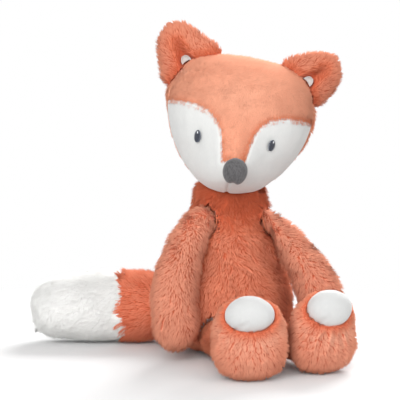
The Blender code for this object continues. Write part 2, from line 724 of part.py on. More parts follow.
def arm_piece(side, looks):
    """One arm, from its ball in the shoulder to its padded hand."""
    sign = SIDE_SIGN[side]
    root = shoulder(side)
    spine = [root + Vector((sign * out * ARM_OUT, -front * ARM_FRONT, -drop * ARM_DROP))
             for out, front, drop in ARM_SHARES[side]]
    first = (spine[1] - spine[0]).normalized()
    spine[0] = root - first * ARM_BALL
    widths = [share * ARM_WIDTH / 2.0 for share in ARM_WIDTH_SHARES]
    thicks = [share * ARM_THICK / 2.0 for share in ARM_THICK_SHARES]
    across = Matrix.Rotation(math.radians(HEAD_LOOK_DEG), 3, "Z") @ Vector((1.0, 0.0, 0.0))
    arm = swept("arm_" + side, spine, widths, thicks, across, (ARM_BALL, ARM_END_ROUND), 16, 11)
    axis = shoulder_axis(side)
    relieve(arm, pear("torso_room", 2.0 * GAP), root, [[(axis * -sign, swing)] for swing in ARM_SWING_DEG])
    lift_axis = axis.cross(Vector((0.0, 0.0, 1.0))).normalized()
    ring = thread_ring("ring_room", root, axis, ARM_BALL, THREAD_DEPTH, grow=GAP)
    relieve(arm, ring, root, [[(lift_axis, lift)] for lift in ARM_LIFT_DEG])
    carve(arm, [ball("arm_ball", root, ARM_BALL)], "UNION")
    empty = pivot_empty("shoulder_" + side, root)
    finish_piece(arm, "arm_" + side, looks["orange"], empty)


def leg_pieces(side, looks):
    """One leg with its foot and white toe."""
    sign = SIDE_SIGN[side]
    root = hip(side)
    across = Vector((1.0, 0.0, 0.0))
    ankle = root + Vector((LEG_SPLAY_SHARES[side] * sign, -1.0, LEG_RISE_SHARE)) * LEG_REACH
    way = (ankle - root).normalized()
    spine = [root - way * LEG_BALL, *[root.lerp(ankle, share) for share in LEG_STEP_SHARES], ankle]
    half = [LEG_BALL, LEG_BALL, LEG_WIDTH / 2.0, LEG_WIDTH / 2.0]
    leg = swept("leg_" + side, spine, half, half, across, (LEG_BALL, LEG_WIDTH / 2.0), 14, 9)
    foot_x, foot_y = FOOT_PLACE[side]
    turn = Matrix.Rotation(math.radians(FOOT_TURN_DEG[side]), 3, "Z")
    base = Vector((foot_x, foot_y, -SEAT_CUT))
    spine = [base + Vector((0.0, 0.0, (FOOT_HEIGHT + SEAT_CUT) * i / 4.0)) for i in range(5)]
    widths = [share * FOOT_WIDTH / 2.0 for share in FOOT_WIDTH_SHARES]
    depths = [share * FOOT_DEPTH / 2.0 for share in FOOT_DEPTH_SHARES]
    sole = turn @ across
    rounds = (FOOT_ROUND, FOOT_ROUND)
    foot = swept("foot_" + side, spine, widths, depths, sole, rounds, 18, 10)
    carve(foot, [below_floor("foot_floor")])
    toe_at = base + turn @ Vector((0.0, -TOE_FRONT, TOE_RISE))
    toe_half = Vector((TOE_WIDTH, TOE_DEPTH, TOE_HEIGHT)) / 2.0
    toe = ellipsoid("toe_" + side, toe_at, toe_half, turn, *TOE_FACETS)
    small = Vector((GAP, GAP, GAP))
    carve(foot, [ellipsoid("toe_place", toe_at, toe_half + small, turn, *TOE_FACETS)])
    grown = swept("foot_grown", spine, widths, depths, sole, rounds, 18, 10, GAP)
    carve(leg, [grown, below_floor("leg_floor")])
    lateral = Vector((-1.0, 0.0, 0.0))
    poses = [[(lateral, raised)] for raised in LEG_RAISE_DEG]
    poses += [[(HIP_AXIS * -sign, roll)] for roll in LEG_ROLL_DEG]
    relieve(leg, pear("torso_room", 2.0 * GAP), root, poses)
    ring = thread_ring("ring_room", root, HIP_AXIS, LEG_BALL, THREAD_DEPTH, grow=GAP)
    relieve(leg, ring, root, [[(lateral, raised)] for raised in LEG_RAISE_DEG])
    carve(leg, [ball("leg_ball", root, LEG_BALL)], "UNION")
    empty = pivot_empty("hip_" + side, root)
    finish_piece(leg, "leg_" + side, looks["orange"], empty)
    finish_piece(foot, "foot_" + side, looks["orange"], empty)
    finish_piece(toe, "toe_" + side, looks["velour"], empty)


def tail_pieces(looks):
    """The tail: an orange base and a white tip, split at their seam."""
    spine = [TAIL_ROOT + Vector((-out * TAIL_REACH, back * TAIL_SWEEP, 0.0))
             for out, back in TAIL_PATH_SHARES]
    first = (spine[1] - spine[0]).normalized()
    spine[0] = TAIL_ROOT - first * TAIL_BALL
    half = [share * TAIL_WIDTH / 2.0 for share in TAIL_WIDTH_SHARES]
    across = Vector((0.0, 0.0, 1.0))
    tail = swept("tail_base", spine, half, half, across, (TAIL_BALL, TAIL_TIP_ROUND), 18, 12)
    carve(tail, [below_floor("tail_floor")])
    seam = smooth_at(spine, TAIL_SEAM_SHARE)
    way = (smooth_at(spine, TAIL_SEAM_SHARE + TAIL_SEAM_STEP_SHARE) - seam).normalized()
    turn = Vector((-1.0, 0.0, 0.0)).rotation_difference(way).to_matrix().to_4x4()
    place = Matrix.Translation(seam) @ turn
    outer = slab("tail_outer", (-OVERRUN, -OVERRUN, -OVERRUN), (0.0, OVERRUN, OVERRUN))
    inner = slab("tail_inner", (-GAP, -OVERRUN, -OVERRUN), (OVERRUN, OVERRUN, OVERRUN))
    outer.data.transform(place)
    inner.data.transform(place)
    tip = carve(copy_of(tail, "tail_tip"), [inner])
    base = carve(tail, [outer])
    down = Vector((0.0, 0.0, -1.0))
    poses = [[(TAIL_AXIS, turned), (down, swing)] for turned in TAIL_TURN_DEG for swing in TAIL_SWING_DEG]
    relieve(base, pear("torso_room", 2.0 * GAP), TAIL_ROOT, poses)
    ring = thread_ring("ring_room", TAIL_ROOT, TAIL_AXIS, TAIL_BALL, THREAD_DEPTH, grow=GAP)
    relieve(base, ring, TAIL_ROOT, [[(down, swing)] for swing in TAIL_SWING_DEG])
    carve(base, [ball("tail_ball", TAIL_ROOT, TAIL_BALL)], "UNION")
    empty = pivot_empty("tail_root", TAIL_ROOT)
    finish_piece(base, "tail_base", looks["orange"], empty)
    finish_piece(tip, "tail_tip", looks["white"], empty)


def build():
    clear_scene()
    looks = {
        "orange": material("coral fur", ORANGE, 0.95),
        "white": material("white fur", WHITE, 0.95),
        "velour": material("white velour", WHITE, 0.9),
        "grey": material("grey velour", GREY, 0.9),
        "navy": material("navy embroidery", NAVY, 0.6),
        "thread": material("rust thread", RUST, 0.8),
        "filling": material("polyester filling", FILLING, 1.0),
        "pellets": material("pellet bag", SHELL, 0.9),
    }
    torso_pieces(looks)
    head = pivot_empty("neck_nod", NECK)
    head_frame = pivot_empty("head_frame", Vector((HEAD_SIDE, -HEAD_FRONT, HEAD_RISE)), head_turn(), head)
    head_pieces(head_frame, looks)
    for side in SIDE_SIGN:
        ear_pieces(side, head_frame, looks)
        arm_piece(side, looks)
        leg_pieces(side, looks)
    tail_pieces(looks)
    up = Vector((0.0, 0.0, 1.0))
    drawstring = thread_ring("neck_drawstring", NECK, up, NECK_RADIUS, -NECK_RING_RISE, 24)
    finish_piece(drawstring, "neck_drawstring", looks["thread"], head)
    for name, pivot, axis, radius in SOCKETS:
        carrier = pivot_empty(name + "_axis", pivot)
        ring = thread_ring(name, pivot, axis, radius, THREAD_DEPTH)
        finish_piece(ring, name, looks["thread"], carrier)


build()
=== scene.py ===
"""The looks of the plush fox: long coral plush, white velour face and toes, stitched eyes, fluffy tail tip."""
import json
import math
from dataclasses import dataclass

import bpy
import numpy as np
from bpy.props import FloatProperty, FloatVectorProperty, IntProperty, PointerProperty
from mathutils import Matrix, Vector
from mathutils.bvhtree import BVHTree
from mathutils.kdtree import KDTree


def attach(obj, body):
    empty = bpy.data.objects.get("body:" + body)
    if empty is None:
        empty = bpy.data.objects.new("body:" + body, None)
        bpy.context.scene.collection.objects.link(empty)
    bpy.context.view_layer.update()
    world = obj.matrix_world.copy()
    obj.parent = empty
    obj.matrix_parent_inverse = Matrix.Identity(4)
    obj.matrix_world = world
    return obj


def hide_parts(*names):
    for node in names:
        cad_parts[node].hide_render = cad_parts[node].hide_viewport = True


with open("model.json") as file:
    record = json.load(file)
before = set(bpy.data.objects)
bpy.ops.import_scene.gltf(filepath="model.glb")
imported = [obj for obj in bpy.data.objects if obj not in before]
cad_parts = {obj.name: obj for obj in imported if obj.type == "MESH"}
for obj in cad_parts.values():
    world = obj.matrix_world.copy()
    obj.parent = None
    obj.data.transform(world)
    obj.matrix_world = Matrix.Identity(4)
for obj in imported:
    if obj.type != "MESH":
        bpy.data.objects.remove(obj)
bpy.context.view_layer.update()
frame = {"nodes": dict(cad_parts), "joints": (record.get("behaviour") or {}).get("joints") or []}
NODES = frame["nodes"]
JOINTS = {joint["name"]: joint for joint in frame["joints"]}

bl_info = {
    "name": "Plush Fox",
    "version": (1, 0, 0),
    "blender": (4, 5, 0),
    "location": "View3D > Sidebar > Plush Fox",
    "description": "Dresses the plush fox in plush, velour, stitches and thread",
    "category": "Add Mesh",
}

SIDES = ("right", "left")

# The head's own frame: the face looks along -y and the crown is at +z.
HEAD_PLACE = Vector((0.0035, -0.004, 0.205))
HEAD_LOOK_DEG = -15.0
HEAD_NOD_DEG = -5.0
HEAD_ROLL_DEG = 9.5
HEAD_HALF_WIDTH = 0.069
HEAD_HALF_HEIGHT = 0.062
FACE_SEAM = 0.008
CHIN_SEAM = 0.003
CHEEK_OUTLINE = (
    (0.0, -0.57), (0.145, -0.57), (0.18, -0.32), (0.22, -0.13), (0.29, 0.016), (0.39, 0.105),
    (0.54, 0.16), (0.77, 0.20), (1.20, 0.20), (1.20, -1.60), (0.0, -1.60),
)
HEAD_TURN = np.array(
    Matrix.Rotation(math.radians(HEAD_LOOK_DEG), 3, "Z")
    @ Matrix.Rotation(math.radians(HEAD_NOD_DEG), 3, "X")
    @ Matrix.Rotation(math.radians(HEAD_ROLL_DEG), 3, "Y")
)

# Tufts: the lowest point of any, how far a root is sunk and a tip kept clear, the width as a share of the
# spacing, and the least and most lean in radians.
FLOOR_GAP = 0.0004
ROOT_DEPTH = 0.0004
TIP_CLEAR = 0.0005
TUFT_WIDTH = 0.60
LEAN_RANGE = (0.1, 1.35)

# How finely each kind of form is read from its solids: the voxel, and the smoothing passes.
FORM_SIZES = {
    "torso": (0.003, 16), "head": (0.003, 16), "tail": (0.003, 12), "ear": (0.0018, 5),
    "arm": (0.0025, 10), "leg": (0.0025, 8), "foot": (0.0025, 8), "toe": (0.0022, 6),
}

# What the two sides of the toy don't share.
EYE_TILT = {"right": 0.30, "left": 0.12}
EAR_CORNERS = {"right": 0.15, "left": -0.95}
EAR_SKIRT = {"right": 0.0035, "left": -0.0030}
EAR_STRETCH = {"right": 0.0010, "left": 0.0}
EAR_HIGHEST = {"right": 1.0, "left": 0.2655}
TOE_TALL = {"right": 1.13, "left": 1.20}
SHOULDER_SINK = {"arm_left": (0.0035, 0.0040)}

# Solids whose outer sides make one stuffed form.
FORMS = {
    "torso": ("torso_skin", "torso_stuffing", "pellet_bag"),
    "head": ("head_back", "head_crown", "cheek_right", "cheek_left", "head_stuffing"),
    "tail": ("tail_base", "tail_tip"),
}
# What the pile of each form must not grow through.
NEIGHBOURS = {
    "torso": ("arm_right", "arm_left", "leg_right", "leg_left", "tail", "head"),
    "head": ("torso",),
    "tail": ("torso",),
}
for side_name in SIDES:
    FORMS["ear_" + side_name] = ("ear_" + side_name + "_back", "ear_" + side_name + "_lining")
    for limb in ("arm", "leg", "foot", "toe"):
        FORMS[limb + "_" + side_name] = (limb + "_" + side_name,)
    NEIGHBOURS["ear_" + side_name] = ("head",)
    NEIGHBOURS["arm_" + side_name] = ("torso", "leg_" + side_name, "head")
    NEIGHBOURS["leg_" + side_name] = ("torso", "foot_" + side_name)
    NEIGHBOURS["foot_" + side_name] = ("leg_" + side_name, "toe_" + side_name)

# Forms and finishes that are made once and shared.
MADE = {}


# Numbers over points

def unit(vectors):
    """Vectors of length one; a vector of no length stays."""
    return vectors / np.maximum(np.linalg.norm(vectors, axis=-1, keepdims=True), 1e-12)


def flat_part(vectors, normals):
    """The part of each vector that lies along the surface."""
    return vectors - normals * np.sum(vectors * normals, axis=1, keepdims=True)


def ripple(points, size, seed):
    """A smooth uneven field over space, about -1 to 1, whose lumps are about this size."""
    source = np.random.default_rng(seed)
    total = np.zeros(len(points))
    for _ in range(9):
        way = unit(source.normal(size=3)) * source.uniform(0.7, 1.6) * math.pi / size
        total += np.sin(points @ way + source.uniform(0.0, 6.28))
    return total / 3.0


def to_head(points):
    """Points in the head's own frame."""
    return (points - np.array(HEAD_PLACE)) @ HEAD_TURN


def from_head(ways):
    """Directions of the head's own frame, in the row frame."""
    return np.asarray(ways) @ HEAD_TURN.T


def step(low, high, values):
    """0 below low, 1 above high, and smooth between them."""
    share = np.clip((values - low) / (high - low), 0.0, 1.0)
    return share * share * (3.0 - 2.0 * share)


def in_outline(x, z):
    """Whether places of the face, across and up, are inside the cheek outline, and how far they are from it."""
    corners = np.array(CHEEK_OUTLINE) * (HEAD_HALF_WIDTH, HEAD_HALF_HEIGHT)
    places = np.stack((np.abs(x), z), axis=1)
    inside = np.zeros(len(places), bool)
    nearest = np.full(len(places), 1.0)
    for start, end in zip(corners, np.roll(corners, -1, axis=0)):
        crosses = (start[1] > places[:, 1]) != (end[1] > places[:, 1])
        rise = end[1] - start[1]
        at = start[0] + (places[:, 1] - start[1]) / (rise if abs(rise) > 1e-9 else 1e-9) * (end[0] - start[0])
        inside ^= crosses & (places[:, 0] < at)
        run = end - start
        share = np.clip(((places - start) @ run) / (run @ run), 0.0, 1.0)
        nearest = np.minimum(nearest, np.linalg.norm(places - start - share[:, None] * run, axis=1))
    return inside, nearest


# Surfaces

class Skin:
    """A smooth stuffed surface in triangles, with normals, to sew pieces from and to grow pile on."""

    def __init__(self, points, quads):
        self.points = points
        self.quads = quads
        self.refresh()

    def refresh(self):
        """Works out triangles, areas and normals again after the points have moved."""
        quads = self.quads
        self.tris = np.concatenate((quads[:, (0, 1, 2)], quads[:, (0, 2, 3)]))
        self.tris = self.tris[self.tris[:, 0] != self.tris[:, 2]]
        a, b, c = (self.points[self.tris[:, i]] for i in range(3))
        across = np.cross(b - a, c - a)
        self.areas = np.linalg.norm(across, axis=1) / 2.0
        normals = np.zeros_like(self.points)
        for i in range(3):
            np.add.at(normals, self.tris[:, i], across)
        self.normals = unit(normals)
        self.tree = None

    def moved(self, amount):
        """A copy moved along its normals by one amount, or an amount for each point."""
        amount = np.broadcast_to(np.asarray(amount, float), (len(self.points),))
        return Skin(self.points + self.normals * amount[:, None], self.quads)

    def part(self, keep):
        """The part of the skin whose faces are kept."""
        quads = self.quads[keep]
        used, index = np.unique(quads, return_inverse=True)
        piece = Skin(self.points[used], index.reshape(quads.shape))
        piece.normals = self.normals[used]
        return piece

    def centres(self):
        """The middle of each face."""
        return self.points[self.quads].mean(axis=1)

    def sow(self, spacing, source):
        """Places on the skin about this far apart, with their normals."""
        count = int(self.areas.sum() / spacing ** 2 * 4.0)
        pick = source.choice(len(self.tris), count, p=self.areas / self.areas.sum())
        u, v = source.uniform(size=(2, count))
        turn = u + v > 1.0
        u[turn], v[turn] = 1.0 - u[turn], 1.0 - v[turn]
        weights = np.stack((1.0 - u - v, u, v), axis=1)[:, :, None]
        places = (self.points[self.tris[pick]] * weights).sum(axis=1)
        normals = unit((self.normals[self.tris[pick]] * weights).sum(axis=1))
        cells = np.floor(places / (spacing * 1.22)).astype(np.int64)
        keys = (cells[:, 0] * 73856093) ^ (cells[:, 1] * 19349663) ^ (cells[:, 2] * 83492791)
        first = np.sort(np.unique(keys, return_index=True)[1])
        return places[first], normals[first]

    def depth(self, places, reach):
        """How far each place is above the skin, below 0 inside it, and the nearest point and normal."""
        if self.tree is None:
            self.tree = BVHTree.FromPolygons(self.points.tolist(), self.tris.tolist())
        above = np.full(len(places), reach)
        on, normals = np.zeros((len(places), 3)), np.zeros((len(places), 3))
        low, high = self.points.min(axis=0) - reach, self.points.max(axis=0) + reach
        near = np.nonzero(((places > low) & (places < high)).all(axis=1))[0]
        for i in near:
            place, normal, _, far = self.tree.find_nearest(places[i].tolist(), reach)
            if place is not None:
                way = places[i] - np.array(place)
                above[i] = far if way @ np.array(normal) >= 0.0 else -far
                on[i], normals[i] = place, normal
        return above, on, normals


def node_points(node):
    """The points of a solid."""
    return np.array([tuple(vertex.co) for vertex in NODES[node].data.vertices])


def plain_mesh(name, points, faces):
    """A mesh from points and faces."""
    mesh = bpy.data.meshes.new(name)
    mesh.from_pydata(np.asarray(points).tolist(), [], [list(map(int, face)) for face in faces])
    return mesh


def read_skin(mesh):
    """A skin from a mesh of quads and triangles."""
    points = np.zeros(len(mesh.vertices) * 3)
    mesh.vertices.foreach_get("co", points)
    quads = [tuple(face.vertices) for face in mesh.polygons]
    quads = np.array([q if len(q) == 4 else (q[0], q[1], q[2], q[2]) for q in quads], np.int64)
    return Skin(points.reshape(-1, 3), quads)


def biggest(skin):
    """The largest connected part of a skin."""
    parent = np.arange(len(skin.points))
    edges = np.concatenate([skin.quads[:, (i, (i + 1) % 4)] for i in range(4)])
    while True:
        low = np.minimum(parent[edges[:, 0]], parent[edges[:, 1]])
        before = parent.copy()
        np.minimum.at(parent, edges[:, 0], low)
        np.minimum.at(parent, edges[:, 1], low)
        parent = parent[parent]
        if (parent == before).all():
            break
    roots = parent[skin.quads[:, 0]]
    names, counts = np.unique(roots, return_counts=True)
    return skin.part(roots == names[counts.argmax()])


def worked(mesh, *modifiers):
    """What modifiers, each a type and its settings, make of a mesh. The old mesh goes."""
    worker = bpy.data.objects.new("worker", mesh)
    bpy.context.collection.objects.link(worker)
    for kind, values in modifiers:
        modifier = worker.modifiers.new(kind.title(), kind)
        for key, value in values.items():
            setattr(modifier, key, value)
    bpy.context.view_layer.update()
    made = bpy.data.meshes.new_from_object(worker.evaluated_get(bpy.context.evaluated_depsgraph_get()))
    bpy.data.objects.remove(worker)
    bpy.data.meshes.remove(mesh)
    return made


def soften(nodes, voxel, passes, levels=0):
    """A smooth closed skin round the solids of these nodes."""
    points, faces, first = [], [], 0
    for node in nodes:
        mesh = NODES[node].data
        points += [tuple(vertex.co) for vertex in mesh.vertices]
        faces += [[first + i for i in face.vertices] for face in mesh.polygons]
        first += len(mesh.vertices)
    modifiers = [
        ("REMESH", {"mode": "VOXEL", "voxel_size": voxel}),
        ("SMOOTH", {"factor": 0.5, "iterations": passes}),
    ]
    if levels:
        modifiers.append(("SUBSURF", {"levels": levels}))
    made = worked(plain_mesh("worker", points, faces), *modifiers)
    skin = biggest(read_skin(made))
    bpy.data.meshes.remove(made)
    return skin


def narrowed(skin, low, high):
    """An upper arm with less filling on its outer side: so much along it, and so much more at its top."""
    rise, out = skin.points[:, 2], skin.normals[:, 0] + 0.5 * skin.normals[:, 2]
    sunk = low * step(0.080, 0.105, rise) + high * step(0.112, 0.130, rise)
    return skin.moved(-sunk * step(-0.5, 0.3, out))


def form(name):
    """The smooth outer form of one stuffed part, kept once it is made."""
    if name not in MADE:
        MADE[name] = soften(FORMS[name], *FORM_SIZES[name.split("_")[0]])
        if name in SHOULDER_SINK:
            MADE[name] = narrowed(MADE[name], *SHOULDER_SINK[name])
    return MADE[name]


def around(name):
    """What lies round a form: the backing of what is furry, the outside of what is smooth."""
    found = []
    for other in NEIGHBOURS[name]:
        key = "backing of " + other
        if key not in MADE:
            MADE[key] = form(other) if other.startswith("toe") else form(other).moved(-0.0022)
        found.append(MADE[key])
    return found


def met(skin, others, reach, sunk=0.0):
    """A skin whose points near another skin are drawn to it, so that no gap shows where two pieces are sewn."""
    points = skin.points.copy()
    for other in others:
        above, on, out = other.depth(points, reach)
        pull = 1.0 - step(0.35 * reach, reach, above)
        close = (above < reach) & (above > -sunk)
        target = on - out * sunk
        points[close] += (target[close] - points[close]) * pull[close][:, None]
    return Skin(points, skin.quads)


# Pieces

def settings():
    """The sizes and colours of the sidebar."""
    return bpy.context.scene.plush_fox


def finished(name, mesh, material, body, nodes=()):
    """Puts a piece in the scene, on its body, with its material."""
    mesh.materials.clear()
    mesh.materials.append(material)
    if not mesh.has_custom_normals:
        mesh.shade_smooth()
    piece = bpy.data.objects.new(name, mesh)
    bpy.context.collection.objects.link(piece)
    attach(piece, body)
    if nodes:
        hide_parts(*nodes)
    return piece


def written(name, points, corners, sizes, cell_uv=None, marks=None, normals=None):
    """A mesh from arrays: points, the corners of all faces, each face's size, and normals to shade by."""
    mesh = bpy.data.meshes.new(name)
    mesh.vertices.add(len(points))
    mesh.vertices.foreach_set("co", np.asarray(points, np.float32).ravel())
    mesh.loops.add(len(corners))
    mesh.loops.foreach_set("vertex_index", np.asarray(corners, np.int32))
    mesh.polygons.add(len(sizes))
    starts = np.concatenate(([0], np.cumsum(sizes)[:-1])).astype(np.int32)
    mesh.polygons.foreach_set("loop_start", starts)
    mesh.update(calc_edges=True)
    if cell_uv is not None:
        layer = mesh.uv_layers.new(name="OFBake")
        layer.data.foreach_set("uv", np.asarray(cell_uv, np.float32).ravel())
    for key, values in (marks or {}).items():
        mesh.attributes.new(key, "FLOAT", "POINT").data.foreach_set("value", np.asarray(values, np.float32))
    mesh.validate()
    if normals is not None:
        mesh.shade_smooth()
        mesh.normals_split_custom_set_from_vertices(np.asarray(normals, np.float32))
    return mesh


def skin_mesh(name, skin, marks=None, thick=0.0):
    """A mesh of a skin; with a thickness it gets an inner side and a rim."""
    sizes = np.where(skin.quads[:, 2] == skin.quads[:, 3], 3, 4)
    corners = np.concatenate([quad[:size] for quad, size in zip(skin.quads, sizes)])
    mesh = written(name, skin.points, corners, sizes, marks=marks)
    if thick:
        mesh = worked(mesh, ("SOLIDIFY", {"thickness": thick, "offset": -1.0}))
        mesh.name = name
    return mesh


@dataclass
class Pile:
    """The pile of one piece: how long, how dense and how curled its tufts are."""
    length: float
    spacing: float = 0.00095
    lean: float = 0.85
    swirl: float = 0.45
    clump: float = 0.0042
    pull: float = 0.42
    calm: float = 0.0


def laid(roots, normals, nap, pile, seed, source):
    """The way each tuft lies along the skin: its nap, turned a little here and there."""
    flow = flat_part(nap(roots, normals), normals)
    flow = flow / np.maximum(np.linalg.norm(flow, axis=1, keepdims=True), 0.35)
    turn = pile.swirl * (ripple(roots, 0.014, seed + 1) + 0.5 * ripple(roots, 0.006, seed + 2))
    turn = turn + source.normal(0.0, 0.20, len(roots))
    return flow * np.cos(turn)[:, None] + np.cross(normals, flow) * np.sin(turn)[:, None]


def locks(places, centres):
    """Which lock each tuft belongs to: the nearest centre."""
    finder = KDTree(len(centres))
    for i, centre in enumerate(centres.tolist()):
        finder.insert(centre, i)
    finder.balance()
    return np.array([finder.find(place)[1] for place in places.tolist()])


def middles(tips, lock, count):
    """The middle of the tips of each tuft's lock."""
    sums = np.zeros((count, 3))
    np.add.at(sums, lock, tips)
    return sums[lock] / np.bincount(lock, minlength=count)[lock][:, None]


def spikes(roots, tips, normals, radius):
    """The four points of each tuft, a three-sided spike: three at its root and one at its tip."""
    across = unit(np.cross(tips - roots, normals) + 1e-9)
    up = unit(np.cross(across, tips - roots))
    points = np.empty((len(roots), 4, 3))
    for k, angle in enumerate((math.pi / 2.0, math.pi * 7.0 / 6.0, math.pi * 11.0 / 6.0)):
        wide, high = radius * math.cos(angle), radius * math.sin(angle) * 0.6
        points[:, k] = roots - normals * ROOT_DEPTH + across * wide[:, None] + up * high[:, None]
    points[:, 3] = tips
    points[:, :, 2] = np.maximum(points[:, :, 2], FLOOR_GAP)
    return points


def spike_normals(points, roots, normals, even):
    """Normals between those of the skin and those of the tufts themselves."""
    soft = np.repeat(normals[:, None, :], 4, axis=1)
    own = unit(points - roots[:, None, :] + soft * 1e-6)
    return unit(soft * even + own * (1.0 - even))


def spike_cells(count):
    """The corners of all tufts' faces, and a cell of its own on the bake's map for each tuft."""
    corners = (np.array((0, 3, 1, 1, 3, 2, 2, 3, 0))[None, :] + 4 * np.arange(count)[:, None]).ravel()
    cells = max(int(math.ceil(math.sqrt(count))), 1)
    u, v = np.array((0.0, 0.5, 1.0) * 3), np.array((0.0, 1.0, 0.0) * 3)
    column, row = np.arange(count)[:, None] % cells, np.arange(count)[:, None] // cells
    uv = np.stack((column + 0.08 + 0.84 * u, row + 0.08 + 0.84 * v), axis=2) / cells
    return corners, uv


def comb(name, skin, pile, nap, seed, near=(), keep=None, short=None, tone=None, clear=-0.0004, creased=0.8):
    """A mesh of tufts on a skin, laid along its nap, drawn together in locks, kept off what is near, and darkened
    with painted shade in the creases beside it.
    """
    source = np.random.default_rng(seed)
    spacing = pile.spacing * settings().spacing_share * 1.0
    roots, normals = skin.sow(spacing, source)
    if keep is not None:
        chosen = keep(roots)
        roots, normals = roots[chosen], normals[chosen]
    crease = np.zeros(len(roots))
    for other in near:
        above = other.depth(roots, 0.012)[0]
        crease = np.maximum(crease, 1.0 - step(0.001, 0.0095, above))[above > clear]
        roots, normals = roots[above > clear], normals[above > clear]
    count = len(roots)

    flow = laid(roots, normals, nap, pile, seed, source)
    length = pile.length * settings().length_share * source.uniform(0.78, 1.18, count)
    length *= 1.0 + 0.12 * ripple(roots, 0.010, seed + 3)
    if short is not None:
        length *= short(roots)
    lean = pile.lean + 0.14 * (1.0 - 0.8 * pile.calm) * ripple(roots, 0.009, seed + 4)
    lean = np.clip(lean + source.normal(0.0, 0.09, count), *LEAN_RANGE)
    way = unit(normals * np.cos(lean)[:, None] + flow * np.sin(lean)[:, None])
    tips = roots + way * length[:, None]

    centres = skin.sow(pile.clump, source)[0]
    lock = locks(roots + flow * 0.002, centres)
    pull = pile.pull * source.uniform(0.5, 1.2, count)[:, None]
    lock_tone = source.uniform(-1.0, 1.0, len(centres))[lock]
    tips = tips + (middles(tips, lock, len(centres)) - tips) * pull + normals * (0.0005 * lock_tone)[:, None]
    for other in near:
        above, on, out = other.depth(tips, 0.006)
        low = above < TIP_CLEAR
        tips[low] = on[low] + out[low] * TIP_CLEAR

    points = spikes(roots, tips, normals, spacing * TUFT_WIDTH * source.uniform(0.8, 1.2, count))
    even = settings().evenness + (1.0 - settings().evenness) * 0.7 * pile.calm
    tint = 0.5 + (0.30 * lock_tone + source.normal(0.0, 0.20, count)) * (1.0 - 0.6 * pile.calm)
    # Painted shade in the creases: near a neighbouring piece the pile loses its tone and is darkened toward its
    # root colour.
    light = (tone(roots) if tone is not None else 0.0) * (1.0 - crease) - creased * crease
    marks = {
        "along": np.tile((0.0, 0.0, 0.0, 1.0), count),
        "tint": np.repeat(np.clip(tint, 0.0, 1.0), 4),
        "pale": np.repeat(np.clip(light, -1.0, 1.0), 4),
    }
    corners, uv = spike_cells(count)
    shading = spike_normals(points, roots, normals, even)
    sizes = np.full(count * 3, 3)
    return written(name, points.reshape(-1, 3), corners, sizes, uv.reshape(-1, 2), marks, shading.reshape(-1, 3))


# Finishes

class Signal:
    """A socket whose arithmetic adds Math nodes."""

    def __init__(self, finish, socket):
        self.finish = finish
        self.socket = socket

    def _math(self, operation, first, second):
        return self.finish.add("ShaderNodeMath", {"operation": operation}, {0: first, 1: second})

    def below(self, other):
        """The lower of two values."""
        return self._math("MINIMUM", self, other)

    def __add__(self, other):
        return self._math("ADD", self, other)

    def __sub__(self, other):
        return self._math("SUBTRACT", self, other)

    def __rsub__(self, other):
        return self._math("SUBTRACT", other, self)

    def __mul__(self, other):
        return self._math("MULTIPLY", self, other)

    def __pow__(self, other):
        return self._math("POWER", self, other)

    __radd__ = __add__
    __rmul__ = __mul__


class Finish:
    """A material of one cloth, thread or filling, built from nodes."""

    def __init__(self, name):
        self.material = bpy.data.materials.new(name)
        self.material.use_nodes = True
        self.nodes = self.material.node_tree.nodes
        self.links = self.material.node_tree.links
        self.shader = self.nodes["Principled BSDF"]

    def add(self, kind, options=None, inputs=None, output=0):
        """Adds a node of a type, sets its options, then the values or links of its sockets."""
        node = self.nodes.new(kind)
        for key, value in (options or {}).items():
            setattr(node, key, value)
        for key, value in (inputs or {}).items():
            self.plug(node.inputs[key], value)
        return Signal(self, node.outputs[output])

    def plug(self, socket, value):
        """Links or sets one socket."""
        if isinstance(value, Signal):
            self.links.new(value.socket, socket)
        else:
            socket.default_value = value

    def mark(self, name):
        """A value kept on the mesh's points."""
        return self.add("ShaderNodeAttribute", {"attribute_name": name}, output="Fac")

    def noise(self, size, detail=2.0, stretch=None):
        """Uneven values about this size in metres, from 0 to 1."""
        place = self.add("ShaderNodeTexCoord", output="Object")
        if stretch:
            place = self.add("ShaderNodeMapping", None, {"Vector": place, "Scale": stretch})
        return self.add("ShaderNodeTexNoise", None, {"Vector": place, "Scale": 1.0 / size, "Detail": detail})

    def mix(self, share, first, second):
        """A mix of two colours."""
        return self.add("ShaderNodeMix", {"data_type": "RGBA"}, {0: share, 6: first, 7: second}, 2)

    def bump(self, height, distance, strength):
        """A small relief in the cloth."""
        return self.add("ShaderNodeBump", None, {"Height": height, "Distance": distance, "Strength": strength})

    def done(self, colour, roughness, normal, **constants):
        """The finished material, with what changes over it and its plain values."""
        self.plug(self.shader.inputs["Base Color"], colour)
        self.plug(self.shader.inputs["Roughness"], roughness)
        self.plug(self.shader.inputs["Normal"], normal)
        for key, value in constants.items():
            self.shader.inputs[key.replace("_", " ")].default_value = value
        return self.material


def rgba(colour, share=1.0):
    """A colour with its alpha, made lighter or darker by a share."""
    return tuple(min(value * share, 1.0) for value in colour) + (1.0,)


